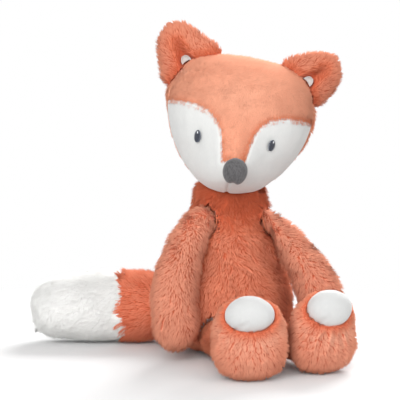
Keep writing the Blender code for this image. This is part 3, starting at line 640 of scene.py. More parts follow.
def plush(name, root, tip, pale):
    """Long pile: dark at its roots, a painted shade deep in the pile, light at its tips, each lock a little
    different.
    """
    finish = Finish(name)
    along, tint, light = finish.mark("along"), finish.mark("tint"), finish.mark("pale")
    patch = finish.noise(0.011, 3.0)
    fleck = finish.noise(0.0016, 2.0)
    reach = along ** 0.7 * 0.90 + (tint - 0.5) * 0.42 + (patch - 0.5) * 0.34 + (fleck - 0.5) * 0.20
    # Below zero the pale mark holds painted shade, which pulls the colour toward the root.
    reach = reach + light.below(0.0) * 0.7
    colour = finish.mix(reach, rgba(root), rgba(tip))
    colour = finish.mix(light * (along * 0.35 + 0.65), colour, rgba(pale))
    roughness = 0.95 - fleck * 0.18
    fibre = finish.noise(0.0007, 1.0)
    return finish.done(
        colour, roughness, finish.bump(fibre, 0.0003, 0.35), Sheen_Weight=0.30, Sheen_Roughness=0.5,
        Sheen_Tint=rgba(tip), Specular_IOR_Level=0.10,
    )


def backing(name, colour):
    """The knitted cloth under the pile."""
    finish = Finish(name)
    knit = finish.add(
        "ShaderNodeTexVoronoi", {"feature": "F1"},
        {"Vector": finish.add("ShaderNodeTexCoord", output="Object"), "Scale": 900.0},
    )
    cloud = finish.noise(0.012, 3.0)
    shade = finish.mix(cloud * 0.6 + knit * 0.5, rgba(colour, 1.15), rgba(colour, 0.75))
    return finish.done(shade, 0.92, finish.bump(1.0 - knit, 0.0004, 0.7), Sheen_Weight=0.2, Specular_IOR_Level=0.15)


def velour(name, colour, shade, speckle=0.0):
    """Short even pile: a soft bloom, small clouds where the pile lies differently, and painted shade where its seam
    mark is set: along the seams, in folds and over whole pieces.
    """
    finish = Finish(name)
    # The seam mark carries painted shade: along the cheeks' seams, over the linings and over the toes.
    seam = finish.mark("seam")
    cloud = finish.noise(0.012, 3.0)
    nap = finish.noise(0.0012, 3.0, (1.0, 1.0, 0.45))
    grain = finish.noise(0.00045, 2.0)
    share = (cloud - 0.5) * 0.5 + (nap - 0.5) * (0.35 + speckle) + (grain - 0.5) * speckle + seam * 0.7 + 0.22
    colour = finish.mix(share, rgba(colour), rgba(shade))
    height = nap * 0.6 + grain * 0.4
    return finish.done(
        colour, 0.9 - grain * 0.15, finish.bump(height, 0.0005, 0.45), Sheen_Weight=0.35, Sheen_Roughness=0.5,
        Specular_IOR_Level=0.2,
    )


def stitched(name, colour, light):
    """Satin stitch: bright along each thread."""
    finish = Finish(name)
    streak = finish.noise(0.00035, 2.0, (1.0, 1.0, 5.0))
    wide = finish.noise(0.0015, 1.0)
    colour = finish.mix(streak * 0.55 + wide * 0.35, rgba(colour), rgba(light))
    return finish.done(
        colour, 0.42 + streak * 0.2, finish.bump(streak, 0.0002, 0.6), Sheen_Weight=0.1, Specular_IOR_Level=0.5,
    )


def thread(name, colour):
    """Twisted thread with loose fibres."""
    finish = Finish(name)
    fuzz = finish.noise(0.0004, 3.0)
    colour = finish.mix(fuzz, rgba(colour, 1.3), rgba(colour, 0.6))
    return finish.done(colour, 0.85, finish.bump(fuzz, 0.0002, 0.6), Sheen_Weight=0.2, Specular_IOR_Level=0.2)


def filling(name, colour, lump):
    """Loose fibre or cloth inside the toy."""
    finish = Finish(name)
    tangle = finish.noise(lump, 5.0)
    fine = finish.noise(lump * 0.15, 4.0)
    colour = finish.mix(tangle * 0.6 + fine * 0.5, rgba(colour), rgba(colour, 0.7))
    bump = finish.bump(fine + tangle, 0.001, 0.8)
    return finish.done(colour, 0.95, bump, Sheen_Weight=0.3, Specular_IOR_Level=0.15)


# Each cloth: its finish, and the colours of the sidebar or plain values that it takes.
CLOTHS = {
    "coral_plush": (plush, "coral_root", "coral_tip", "coral_pale"),
    "brow_plush": (plush, "brow_root", "coral_tip", "brow"),
    "tail_plush": (plush, "tail_root", "tail_tip", "coral_pale"),
    "white_plush": (plush, "white_root", "white_tip", "white_tip"),
    "coral_backing": (backing, "coral_root"),
    "brow_backing": (backing, "brow_backing"),
    "white_backing": (backing, "white_root"),
    "white_velour": (velour, "velour", "velour_shade", 0.1),
    # The linings are white velour, given painted shade and a painted reflection of the coral pile.
    "lining_velour": (velour, "lining", "velour_shade", 0.2),
    "toe_velour": (velour, "toe", "toe_shade", 0.2),
    "grey_velour": (velour, "nose_light", "nose_dark", 1.6),
    "navy_stitch": (stitched, "eye_navy", (0.045, 0.052, 0.075)),
    "rim_stitch": (stitched, "eye_rim", (0.17, 0.20, 0.26)),
    "glint_stitch": (stitched, (0.80, 0.82, 0.85), (0.92, 0.92, 0.92)),
    "rust_thread": (thread, (0.60, 0.17, 0.08)),
    "loose_fibre": (filling, (0.86, 0.86, 0.84), 0.004),
    "bag_cloth": (filling, (0.62, 0.62, 0.60), 0.0012),
}


def cloth(key):
    """The material of a cloth, made once and shared by the pieces that are sewn from it."""
    if key not in MADE:
        make, *values = CLOTHS[key]
        values = [getattr(settings(), value) if isinstance(value, str) else value for value in values]
        MADE[key] = make(key, *values)
    return MADE[key]


# Sizes and colours that a user would change

def tone_property(name, default, text):
    """A colour of the sidebar."""
    return FloatVectorProperty(
        name=name, description=text, subtype="COLOR", size=3, min=0.0, max=1.0, default=default)


class FoxSettings(bpy.types.PropertyGroup):
    """Sizes and colours of the plush fox."""
    plush_length: FloatProperty(
        name="Plush length", description="Length of the body's pile", default=0.0062, min=0.002, max=0.02,
        subtype="DISTANCE", unit="LENGTH")
    tip_length: FloatProperty(
        name="Tail tip length", description="Length of the white pile of the tail's tip", default=0.0085,
        min=0.002, max=0.03, subtype="DISTANCE", unit="LENGTH")
    backing_depth: FloatProperty(
        name="Backing depth", description="How far the backing lies below the toy's outline", default=0.0028,
        min=0.0, max=0.006, subtype="DISTANCE", unit="LENGTH")
    panel_thickness: FloatProperty(
        name="Panel thickness", description="Thickness of a sewn panel with its backing", default=0.0018,
        min=0.0005, max=0.004, subtype="DISTANCE", unit="LENGTH")
    length_share: FloatProperty(
        name="Length of all pile", description="Makes all pile longer or shorter", default=1.0, min=0.3,
        max=2.0, subtype="FACTOR")
    spacing_share: FloatProperty(
        name="Spacing of all pile", description="Sets the tufts further apart or closer", default=1.0, min=0.6,
        max=3.0, subtype="FACTOR")
    evenness: FloatProperty(
        name="Evenness of pile", description="How far the pile is shaded as one soft surface", default=0.68,
        min=0.0, max=1.0, subtype="FACTOR")
    eye_stitches: IntProperty(
        name="Stitches of an eye", description="Rows of satin stitch in one eye", default=26, min=8, max=60)
    # The root colours are darker than the tips: painted shade deep in the pile.
    coral_root: tone_property("Coral, root", (0.54, 0.108, 0.048), "Colour of the coral pile at its root")
    coral_tip: tone_property("Coral, tip", (0.78, 0.255, 0.143), "Colour of the coral pile at its tip")
    coral_pale: tone_property("Coral, pale", (0.86, 0.50, 0.36), "Colour of the pale parts of the coral pile")
    brow: tone_property("Brow", (0.92, 0.455, 0.305), "Colour of the pile of the forehead")
    brow_root: tone_property("Brow, root", (0.72, 0.225, 0.12), "Colour of the forehead's pile at its root")
    brow_backing: tone_property("Brow, backing", (0.86, 0.38, 0.24), "Colour of the cloth under the head's pile")
    tail_root: tone_property("Tail, root", (0.63, 0.130, 0.062), "Colour of the tail's pile at its root")
    tail_tip: tone_property("Tail, tip", (0.80, 0.26, 0.150), "Colour of the tail's pile at its tip")
    white_root: tone_property("White, root", (0.84, 0.835, 0.815), "Colour of the white pile at its root")
    white_tip: tone_property("White, tip", (0.86, 0.86, 0.835), "Colour of the white pile at its tip")
    velour: tone_property("White velour", (0.635, 0.635, 0.62), "Colour of the face")
    velour_shade: tone_property("White velour, shade", (0.50, 0.51, 0.51), "Colour of the velour in its seams")
    # The linings' colour is white velour darkened and tinted pink: painted shade and a painted reflection of the
    # coral pile.
    lining: tone_property("Ear lining", (0.49, 0.40, 0.35), "Colour of the linings of the ears")
    # The toes are the face's white velour, given a darker colour: painted shade for their upturned, well-lit faces.
    toe: tone_property("Toe velour", (0.51, 0.51, 0.50), "Colour of the toes")
    toe_shade: tone_property("Toe velour, shade", (0.45, 0.455, 0.455), "Colour of the toes' velour in its folds")
    nose_light: tone_property("Nose, light", (0.100, 0.096, 0.099), "Light colour of the nose")
    nose_dark: tone_property("Nose, dark", (0.022, 0.021, 0.022), "Dark colour of the nose")
    eye_navy: tone_property("Eye", (0.012, 0.015, 0.028), "Colour of the eye's thread")
    eye_rim: tone_property("Eye's rim", (0.085, 0.105, 0.150), "Colour of the thread round the eye")


# Naps: the way the pile lies

def down(places, normals):
    """Down the body and a little outward."""
    return unit(places * (3.6, 3.6, 0.0) + np.array((0.0, 0.0, -1.0)))


def crown_nap(places, normals):
    """Down to the brow and outward; round by one side and up over the top of the head."""
    own = to_head(places)
    top = step(0.028, 0.052, own[:, 2])
    aside = own[:, 0] * 16.0 + 1.6 * np.sin(math.pi * top)
    ways = np.stack((aside, own[:, 1] * 4.0 - 0.9 + 1.8 * top, -np.cos(math.pi * top)), axis=1)
    return unit(from_head(ways))


def back_nap(places, normals):
    """Back and down, and outward."""
    own = to_head(places)
    ways = np.stack((own[:, 0] * 16.0, own[:, 1] * 4.0 + 0.9, np.full(len(own), -1.0)), axis=1)
    return unit(from_head(ways))


def straight(way):
    """A nap that lies one way."""
    way = unit(np.asarray(way, float))
    return lambda places, normals: np.broadcast_to(way, places.shape)


def away_from(centre):
    """A nap that lies outward from a place."""
    centre = np.asarray(centre, float)
    return lambda places, normals: unit(places - centre)


def long_way(skin, rough):
    """The long direction of a form, pointing roughly one way."""
    spread = skin.points - skin.points.mean(axis=0)
    way = np.linalg.svd(spread[::7], full_matrices=False)[2][0]
    return way if way @ np.asarray(rough, float) > 0.0 else -way


def middle_of(name):
    """The middle of a form."""
    return form(name).points.mean(axis=0)


# Operators

def furry(name, skin, pile, nap, seed, body, nodes, fur="coral_plush", under="coral_backing", slot="coral_fur",
          thick=0.0, depth=1.0, **rules):
    """A backing and its pile: the cloth replaces the solids, and the pile rides with it."""
    sunk = skin.moved(-settings().backing_depth * depth)
    finished(name, skin_mesh(name, sunk, thick=thick), cloth(under), body, nodes)
    finished(name + "_pile", comb(name + "_pile", sunk, pile, nap, seed, **rules), cloth(fur), body)


class FOX_OT_torso(bpy.types.Operator):
    """Sews the pear-shaped torso and grows its pile down the body"""
    bl_idname = "fox.torso"
    bl_label = "Torso"
    bl_options = {"REGISTER", "UNDO"}

    def execute(self, context):
        skin = form("torso")
        skin = skin.moved(0.0007 * ripple(skin.points, 0.03, 5))
        across, rise = skin.points[:, 0], skin.points[:, 2]
        neck = step(0.085, 0.125, rise) * (1.0 - step(0.146, 0.162, rise))
        shoulder = step(0.118, 0.128, rise) * (1.0 - step(0.132, 0.140, rise))
        across -= 0.0058 * neck * step(0.0, 0.012, -across)
        across += 0.0045 * shoulder * step(0.0, 0.012, across)
        skin = met(skin, [form("arm_" + side) for side in SIDES], 0.0065)

        def tone(places):
            """Painted shadow deep under the chin, in front."""
            return 0.10 - step(0.106, 0.134, places[:, 2]) * (1.0 - step(-0.015, 0.020, places[:, 1]))

        furry(
            "torso", skin, Pile(settings().plush_length), down, 11, "torso", ("torso_skin",), near=around("torso"),
            thick=settings().panel_thickness, creased=0.45, tone=tone,
        )
        return {"FINISHED"}


class FOX_OT_fillings(bpy.types.Operator):
    """Puts in the filling of the torso and the head, and the bag of pellets"""
    bl_idname = "fox.fillings"
    bl_label = "Fillings"
    bl_options = {"REGISTER", "UNDO"}

    def execute(self, context):
        for node, body in (("torso_stuffing", "torso"), ("head_stuffing", "head")):
            skin = soften((node,), 0.004, 4)
            skin = skin.moved(-0.0012 + 0.0008 * ripple(skin.points, 0.012, 3))
            finished(node, skin_mesh(node, skin), cloth("loose_fibre"), body, (node,))
        name = "pellet_bag"
        skin = soften((name,), 0.003, 4)
        skin = skin.moved(-0.0010 + 0.0006 * np.abs(ripple(skin.points, 0.004, 8)))
        finished(name, skin_mesh(name, skin), cloth("bag_cloth"), "torso", (name,))
        return {"FINISHED"}


def ring_of(node):
    """The centre, axis, radius and thickness of a ring of thread."""
    points = node_points(node)
    centre = points.mean(axis=0) * 0.5 + (points.min(axis=0) + points.max(axis=0)) / 4.0
    axis = np.linalg.svd(points - centre, full_matrices=False)[2][2]
    far = np.linalg.norm(flat_part(points - centre, np.broadcast_to(axis, points.shape)), axis=1)
    return centre, axis, (far.min() + far.max()) / 2.0, (far.max() - far.min()) / 2.0


def twisted(node):
    """A closed ring of three-ply thread where the frame has its ring, drawn a little tighter."""
    plies, turns_per_metre, sides = 3, 330.0, 6
    centre, axis, radius, thickness = ring_of(node)
    radius *= 0.87
    first = unit(np.cross(axis, (0.3, 0.5, 0.8)))
    second = np.cross(axis, first)
    length = 2.0 * math.pi * radius
    around = max(int(length / 0.0011), 48)
    turns = max(int(length * turns_per_metre), 6)
    ply, off = thickness * 0.50, thickness * 0.46
    points, corners = [], []
    for strand in range(plies):
        start = len(points)
        for i in range(around):
            angle = 2.0 * math.pi * i / around
            out = first * math.cos(angle) + second * math.sin(angle)
            twist = turns * angle + 2.0 * math.pi * strand / plies
            heart = centre + out * (radius + off * math.cos(twist)) + axis * (off * math.sin(twist))
            for k in range(sides):
                turn = 2.0 * math.pi * k / sides
                points.append(heart + out * (ply * math.cos(turn)) + axis * (ply * math.sin(turn)))
        for i in range(around):
            here, there = start + i * sides, start + (i + 1) % around * sides
            for k in range(sides):
                after = (k + 1) % sides
                corners += [here + k, there + k, there + after, here + after]
    return written(node, np.array(points), corners, np.full(len(corners) // 4, 4))


class FOX_OT_threads(bpy.types.Operator):
    """Twists the drawn threads of the neck, the shoulders, the hips and the tail"""
    bl_idname = "fox.threads"
    bl_label = "Drawn threads"
    bl_options = {"REGISTER", "UNDO"}

    def execute(self, context):
        rings = {"neck_drawstring": "neck", "tail_thread": "tail_root"}
        for side in SIDES:
            rings["shoulder_thread_" + side] = "shoulder_" + side
            rings["hip_thread_" + side] = "hip_" + side
        for node, body in rings.items():
            finished(node, twisted(node), cloth("rust_thread"), body, (node,))
        return {"FINISHED"}


def head_regions(places, lap=0.0):
    """The panel that each place of the head is on (0 back, 1 crown, 2 right cheek, 3 left cheek), and how far it
    is from a seam."""
    own = to_head(places)
    inside, far = in_outline(own[:, 0], own[:, 2])
    front = own[:, 1] < -FACE_SEAM
    cheek = front & inside & ((far > lap) | (own[:, 2] < -HEAD_HALF_HEIGHT * 0.6))
    region = np.where(cheek, np.where(own[:, 0] < CHIN_SEAM, 2, 3), np.where(front, 1, 0))
    far = np.minimum(far, np.abs(own[:, 1] + FACE_SEAM))
    chin = np.abs(own[:, 0] - CHIN_SEAM) + 0.0025
    return region, np.where(own[:, 2] < -0.2 * HEAD_HALF_HEIGHT, np.minimum(far, chin), far)


def head_form():
    """The whole head as one fine smooth skin."""
    if "fine_head" not in MADE:
        MADE["fine_head"] = soften(FORMS["head"], 0.003, 16, 1)
    return MADE["fine_head"]


def head_tone(places):
    """How pale the pile of the head is: palest round the brow, deeper down the bridge and behind, with painted
    shade along the cheeks' outline, heavier on the head's +x side.
    """
    own = to_head(places)
    brow = np.exp(-((own[:, 0] / 0.034) ** 2 + ((own[:, 2] - 0.022) / 0.022) ** 2))
    low = 1.0 - step(-0.030, 0.010, own[:, 2])
    behind = step(0.0, 0.045, own[:, 1])
    # Painted shade where the crown's pile overhangs the cheeks' outline, heavier on the +x side.
    edge = 1.0 - step(0.0004, 0.0062, in_outline(own[:, 0], own[:, 2])[1])
    edge *= (1.0 - step(-0.010, 0.002, own[:, 1])) * np.where(own[:, 0] > 0.0, 1.15, 0.45)
    nose = (1.0 - step(-0.036, -0.022, own[:, 2])) * 0.40
    return np.clip(0.68 + 0.28 * brow - 0.10 * low - nose - 0.45 * behind - edge, -0.6, 1.0)


def fringe(places):
    """1 in the band beside the face that stands out past the cheeks, down to a little above the mouth."""
    own = to_head(places)
    lowest = np.where(own[:, 0] < 0.0, -0.004, -0.028)
    band = 1.0 - step(0.010, 0.024, own[:, 1] + FACE_SEAM)
    return band * step(0.0, 0.024, own[:, 2] - lowest) * (1.0 - step(0.020, 0.034, own[:, 2]))


def back_length(places):
    """The share of the pile's length behind the face: shorter low beside it, longer in the fringe."""
    own = to_head(places)
    low = (1.0 - step(0.0, 0.022, own[:, 1] + FACE_SEAM)) * (1.0 - step(-0.012, 0.020, own[:, 2]))
    return 1.0 - 0.45 * low * (1.0 - fringe(places)) + 0.15 * fringe(places)


def crown_length(places):
    """The share of the pile's length on the crown: longer over the cheeks' upper edge, shorter on the bridge."""
    own = to_head(places)
    bridge = 1.0 - step(0.012, 0.026, np.abs(own[:, 0]))
    low = 1.0 - step(-0.018, 0.012, own[:, 2])
    edge = (1.0 - step(0.0, 0.004, in_outline(own[:, 0], own[:, 2])[1])) * (1.0 - bridge)
    return (1.0 + 0.25 * edge) * (1.0 - 0.25 * bridge * low)


class FOX_OT_head(bpy.types.Operator):
    """Sews the back of the head and the crown with its bridge, and combs them outward from the brow"""
    bl_idname = "fox.head"
    bl_label = "Head"
    bl_options = {"REGISTER", "UNDO"}

    def execute(self, context):
        skin = head_form()
        region = head_regions(skin.centres(), 0.0014)[0]
        back, crown = skin.part(region == 0), skin.part(region == 1)
        same = dict(
            body="head", near=around("head"), tone=head_tone, thick=settings().panel_thickness, fur="brow_plush",
            under="brow_backing",
        )
        furry(
            "head_back", back, Pile(settings().plush_length * 0.85, lean=1.22, pull=0.25, calm=0.9), back_nap, 21,
            nodes=("head_back",), short=back_length, depth=1.0 - 0.75 * fringe(back.points), **same,
        )
        pile = Pile(
            settings().plush_length * 0.72, spacing=0.00072, lean=1.2, swirl=0.12, pull=0.12, clump=0.003, calm=0.9)
        furry(
            "head_crown", crown, pile, crown_nap, 22, nodes=("head_crown",), short=crown_length, depth=0.7, **same,
        )
        return {"FINISHED"}


class FOX_OT_cheeks(bpy.types.Operator):
    """Sews the two white velour cheeks, puffed between their seams"""
    bl_idname = "fox.cheeks"
    bl_label = "Cheeks"
    bl_options = {"REGISTER", "UNDO"}

    def execute(self, context):
        skin = soften(FORMS["head"], *FORM_SIZES["head"], 2)
        region, _ = head_regions(skin.centres())
        for index, side in ((2, "right"), (3, "left")):
            name = "cheek_" + side
            panel = skin.part(region == index)
            seam = 1.0 - step(0.0, 0.0030, head_regions(panel.points)[1])
            panel = panel.moved(-0.0006 - 0.0013 * seam + 0.00035 * ripple(panel.points, 0.022, 31))
            own = to_head(panel.points)
            chin = (1.0 - step(-0.054, -0.030, own[:, 2])) * (1.0 - step(-0.024, -0.010, own[:, 1]))
            panel.points += from_head(((0.0, 0.0, -0.0034),)) * chin[:, None]
            # The seam mark paints shade into the velour along the seams.
            mesh = skin_mesh(name, panel, {"seam": seam * 0.6}, settings().panel_thickness)
            finished(name, mesh, cloth("white_velour"), "head", (name,))
        return {"FINISHED"}


class FOX_OT_nose(bpy.types.Operator):
    """Pads the grey velour nose"""
    bl_idname = "fox.nose"
    bl_label = "Nose"
    bl_options = {"REGISTER", "UNDO"}

    def execute(self, context):
        skin = soften(("nose",), 0.0012, 6, 1).moved(0.0003)
        mesh = skin_mesh("nose", skin, {"seam": np.zeros(len(skin.points))})
        finished("nose", mesh, cloth("grey_velour"), "head", ("nose",))
        return {"FINISHED"}


def stitch(start, end, lift, normal, radius):
    """One stitch: a low arch of thread between two places."""
    sides, steps = 5, 4
    side = np.cross(unit(end - start), normal)
    points, faces = [], []
    for i in range(steps + 1):
        share = i / steps
        heart = start + (end - start) * share + normal * (lift * (1.0 - (2.0 * share - 1.0) ** 2))
        thick = radius * (0.45 + 0.55 * math.sqrt(max(1.0 - (2.0 * share - 1.0) ** 4, 0.0)))
        for k in range(sides):
            turn = 2.0 * math.pi * k / sides
            points.append(heart + side * (thick * math.cos(turn)) + normal * (thick * math.sin(turn)))
    for i in range(steps):
        for k in range(sides):
            a, b = i * sides + k, i * sides + (k + 1) % sides
            faces += [a, b, b + sides, a + sides]
    return points, faces


def sewn(name, stitches):
    """One mesh of many stitches."""
    points, corners = [], []
    for got, faces in stitches:
        corners += [len(points) + i for i in faces]
        points += got
    return written(name, np.array(points), corners, np.full(len(corners) // 4, 4))


class FOX_OT_eyes(bpy.types.Operator):
    """Stitches the two navy eyes with a lighter rim and a small white glint"""
    bl_idname = "fox.eyes"
    bl_label = "Eyes"
    bl_options = {"REGISTER", "UNDO"}

    def execute(self, context):
        for side in SIDES:
            self.sew(side, settings().eye_stitches)
        return {"FINISHED"}

    def sew(self, side, rows):
        """Sews one eye with this many rows of satin stitch."""
        node = "eye_" + side
        points = node_points(node)
        centre = points.mean(axis=0)
        spread = points - centre
        out = np.linalg.svd(spread, full_matrices=False)[2][2]
        out = out if out @ unit(from_head((0.0, -1.0, 0.0))) > 0.0 else -out
        up = unit(flat_part(from_head(((EYE_TILT[side], 0.0, 1.0),)), out[None])[0])
        across = np.cross(up, out)
        half_wide, half_high = np.abs(spread @ across).max() * 0.92, np.abs(spread @ up).max() * 0.87
        front = centre + out * ((spread @ out).max() - 0.0007)

        def at(x, z, rise=0.0):
            return front + across * (x * half_wide) + up * (z * half_high) + out * rise

        navy, rim, glint = [], [], []
        for i in range(rows):
            z = -1.0 + (2.0 * i + 1.0) / rows
            x = math.sqrt(max(1.0 - z * z, 0.0)) * 0.93
            navy.append(stitch(at(-x, z), at(x, z), 0.0005, out, 2.0 * half_high / rows * 0.62))
        around = 44
        for i in range(around):
            x, z = math.cos(2.0 * math.pi * i / around), math.sin(2.0 * math.pi * i / around)
            start, end = at(x * 0.80, z * 0.88, 0.0003), at(x * 1.03, z * 1.02, -0.0003)
            rim.append(stitch(start, end, 0.0002, out, 0.00024))
        for i in range(5):
            z = 0.50 + 0.075 * i
            x = 0.20 * math.sqrt(max(1.0 - ((i - 2.0) / 2.7) ** 2, 0.0))
            glint.append(stitch(at(0.05 - x, z, 0.0006), at(0.05 + x, z, 0.0006), 0.0003, out, 0.00020))
        for key, stitches in (("navy_stitch", navy), ("rim_stitch", rim), ("glint_stitch", glint)):
            name = node + "_" + key
            nodes = (node,) if stitches is navy else ()
            finished(name, sewn(name, stitches), cloth(key), "head", nodes)


def ear_lining(cup, way, face, wide):
    """A small tongue of velour at the foot of an ear's cup, wide at the head and pointed above."""
    points, quads = [], []
    rows, columns = 9, 9
    for i in range(rows):
        rise = i / (rows - 1.0)
        half = 0.0043 * math.sqrt(1.0 - (rise * 0.98) ** 2)
        for j in range(columns):
            side = 2.0 * j / (columns - 1.0) - 1.0
            up = 0.0056 * rise - 0.0040 - 0.0010 * side * side
            points.append(cup + wide * (side * half) + way * up + face * (0.0004 + 0.0016 * side * side))
    for i in range(rows - 1):
        for j in range(columns - 1):
            a = i * columns + j
            quads.append((a, a + 1, a + columns + 1, a + columns))
    skin = Skin(np.array(points), np.array(quads))
    return skin if skin.normals.mean(axis=0) @ face > 0.0 else Skin(skin.points, skin.quads[:, ::-1])


class FOX_OT_ears(bpy.types.Operator):
    """Sews the cupped ears, their pile combed to the tips, and their small pale linings"""
    bl_idname = "fox.ears"
    bl_label = "Ears"
    bl_options = {"REGISTER", "UNDO"}

    def execute(self, context):
        for number, side in enumerate(SIDES):
            self.sew(side, 41 + number)
        return {"FINISHED"}

    def sew(self, side, seed):
        """Sews one ear with its lining."""
        ear = "ear_" + side
        skin = form(ear)
        foot = np.array(JOINTS["ear_fold_" + side]["pos_m"])
        look = unit(from_head((0.0, -1.0, 0.0)))
        way = unit(skin.points.mean(axis=0) - foot)
        face = unit(look - way * (look @ way))
        wide = np.cross(way, face)
        cup = node_points(ear + "_lining").mean(axis=0)
        high, across = (skin.points - foot) @ way, (skin.points - cup) @ wide
        high = high / high.max()

        hollow = np.exp(-((across / (0.0052 * (1.15 - np.clip(high, 0.0, 1.0)))) ** 2) / 2.0)
        hollow *= (1.0 - step(0.50, 0.88, high)) * step(0.0, 0.5, skin.normals @ face)
        corner = unit(way + wide * EAR_CORNERS[side])
        cornered = np.clip(unit(skin.points - skin.points.mean(axis=0)) @ corner, 0.0, 1.0) ** 5
        low_side = step(0.004, 0.016, across) * (1.0 - step(0.25, 0.6, high))
        aside = EAR_SKIRT[side] * low_side - 0.08 * across * step(0.15, 0.5, high)
        points = skin.points + way * (EAR_STRETCH[side] * step(0.35, 1.0, high))[:, None]
        points += corner * (0.0024 * cornered)[:, None] - face * (0.0050 * hollow)[:, None] + wide * aside[:, None]
        points[:, 2] -= 0.62 * np.maximum(points[:, 2] - EAR_HIGHEST[side], 0.0)
        skin = met(Skin(points, skin.quads), [form("head")], 0.0105, 0.0020)
        lining = ear_lining(cup, way, face, wide)

        def tone(places):
            """A little paler all over, with painted shade deep in the cup."""
            away = places - cup
            low = 1.0 - step(0.004, 0.026, np.abs(away @ way))
            return 0.26 - 0.95 * np.exp(-((away @ wide) / 0.0062) ** 2) * low * (away @ face > -0.004)

        def off_lining(places):
            return lining.depth(places, 0.004)[0] > -0.0002

        furry(
            ear, skin, Pile(settings().plush_length * 0.82, spacing=0.0009, lean=0.80), straight(way), seed, ear,
            (ear + "_back",), near=around(ear), tone=tone, keep=off_lining, clear=-0.0010, depth=0.35, creased=0.3,
        )
        name = "ear_lining_" + side
        # The seam mark pulls the whole lining toward the shade colour: painted shade.
        mesh = skin_mesh(name, lining, {"seam": np.full(len(lining.points), 0.5)}, 0.0008)
        finished(name, mesh, cloth("lining_velour"), ear, (ear + "_lining",))


class FOX_OT_arms(bpy.types.Operator):
    """Sews the two arms and combs them down to the hands"""
    bl_idname = "fox.arms"
    bl_label = "Arms"
    bl_options = {"REGISTER", "UNDO"}

    def execute(self, context):
        for number, side in enumerate(SIDES):
            name = "arm_" + side
            skin = form(name)
            furry(
                name, skin, Pile(settings().plush_length * 0.98, spacing=0.0009),
                straight(long_way(skin, (0.0, 0.0, -1.0))), 51 + number, name, (name,), near=around(name),
                tone=lambda places: np.full(len(places), 0.38), creased=0.4,
                short=lambda places: 1.0 - 0.2 * step(0.105, 0.130, places[:, 2]),
            )
        return {"FINISHED"}


class FOX_OT_legs(bpy.types.Operator):
    """Sews the two legs and combs them to the feet"""
    bl_idname = "fox.legs"
    bl_label = "Legs"
    bl_options = {"REGISTER", "UNDO"}

    def execute(self, context):
        for number, side in enumerate(SIDES):
            name = "leg_" + side
            nap = straight(middle_of("foot_" + side) - middle_of(name))
            furry(
                name, form(name), Pile(settings().plush_length * 0.9), nap, 61 + number, name, (name,),
                near=around(name),
            )
        return {"FINISHED"}


class FOX_OT_feet(bpy.types.Operator):
    """Gathers the two feet in pleats round the toe and combs them outward from it"""
    bl_idname = "fox.feet"
    bl_label = "Feet"
    bl_options = {"REGISTER", "UNDO"}

    def execute(self, context):
        for number, side in enumerate(SIDES):
            self.sew(side, 72 + number)
        return {"FINISHED"}

    def sew(self, side, seed):
        """Sews one foot."""
        name = "foot_" + side
        skin = form(name)
        toe = middle_of("toe_" + side)
        out = unit(toe - middle_of(name))
        away = skin.points - toe
        far = np.linalg.norm(away, axis=1)
        across = unit(np.cross(out, (0.0, 0.0, 1.0)))
        angle = np.arctan2(away @ np.cross(across, out), away @ across)
        pleat = np.cos(angle * 15.0 + 0.8 * ripple(skin.points, 0.02, 71))
        pleat = pleat * (0.25 + 0.75 * step(-0.6, 0.8, -np.sin(angle)))
        pleat = pleat * step(0.012, 0.018, far) * (1.0 - step(0.028, 0.044, far))
        skin = skin.moved(0.0010 * pleat)
        rim = 0.8 * step(0.0010, 0.0080, form("toe_" + side).depth(skin.points, 0.010)[0]) - 0.2

        def tone(places):
            """Paler round the toe, with painted light on the sole, which faces the front."""
            ring = np.exp(-((np.linalg.norm(places - toe, axis=1) - 0.022) / 0.008) ** 2)
            painted_sole_light = step(0.2, 0.8, unit(places - places.mean(axis=0)) @ unit(np.array((out[0], out[1], 0.0))))
            return 0.31 + 0.26 * ring + 0.12 * painted_sole_light

        def short(places):
            return 0.72 + 0.28 * step(0.020, 0.045, np.linalg.norm(places - toe, axis=1))

        furry(
            name, skin, Pile(settings().plush_length * 0.75, spacing=0.0008, swirl=0.3, lean=0.75), away_from(toe),
            seed, "leg_" + side, (name,), near=around(name), tone=tone, short=short, depth=rim, creased=0.0,
        )


class FOX_OT_toes(bpy.types.Operator):
    """Sews the round white velour toes, with a small pleat low on one side"""
    bl_idname = "fox.toes"
    bl_label = "Toes"
    bl_options = {"REGISTER", "UNDO"}

    def execute(self, context):
        for side in SIDES:
            name = "toe_" + side
            skin = soften((name,), 0.0022, 8, 2)
            middle = skin.points.mean(axis=0)
            skin.points[:, 2] = middle[2] + (skin.points[:, 2] - middle[2]) * TOE_TALL[side] + 0.0008
            skin.points += unit(middle - middle_of("foot_" + side)) * 0.0010
            skin.refresh()
            away = unit(skin.points - skin.points.mean(axis=0))
            fold_way = unit(np.array((-0.75, -0.2, -0.62)))
            beside = np.abs(away @ unit(np.cross(fold_way, (0.0, -1.0, 0.0))))
            fold = step(0.45, 0.95, away @ fold_way) * (1.0 - step(0.0, 0.26, beside))
            skin = skin.moved(0.0004 - 0.0007 * fold + 0.0003 * ripple(skin.points, 0.016, 81))
            # The seam mark paints shade over the whole toe, and more in its pleat.
            mesh = skin_mesh(name, skin, {"seam": 0.35 + fold * 0.1})
            finished(name, mesh, cloth("toe_velour"), "leg_" + side, (name,))
        return {"FINISHED"}


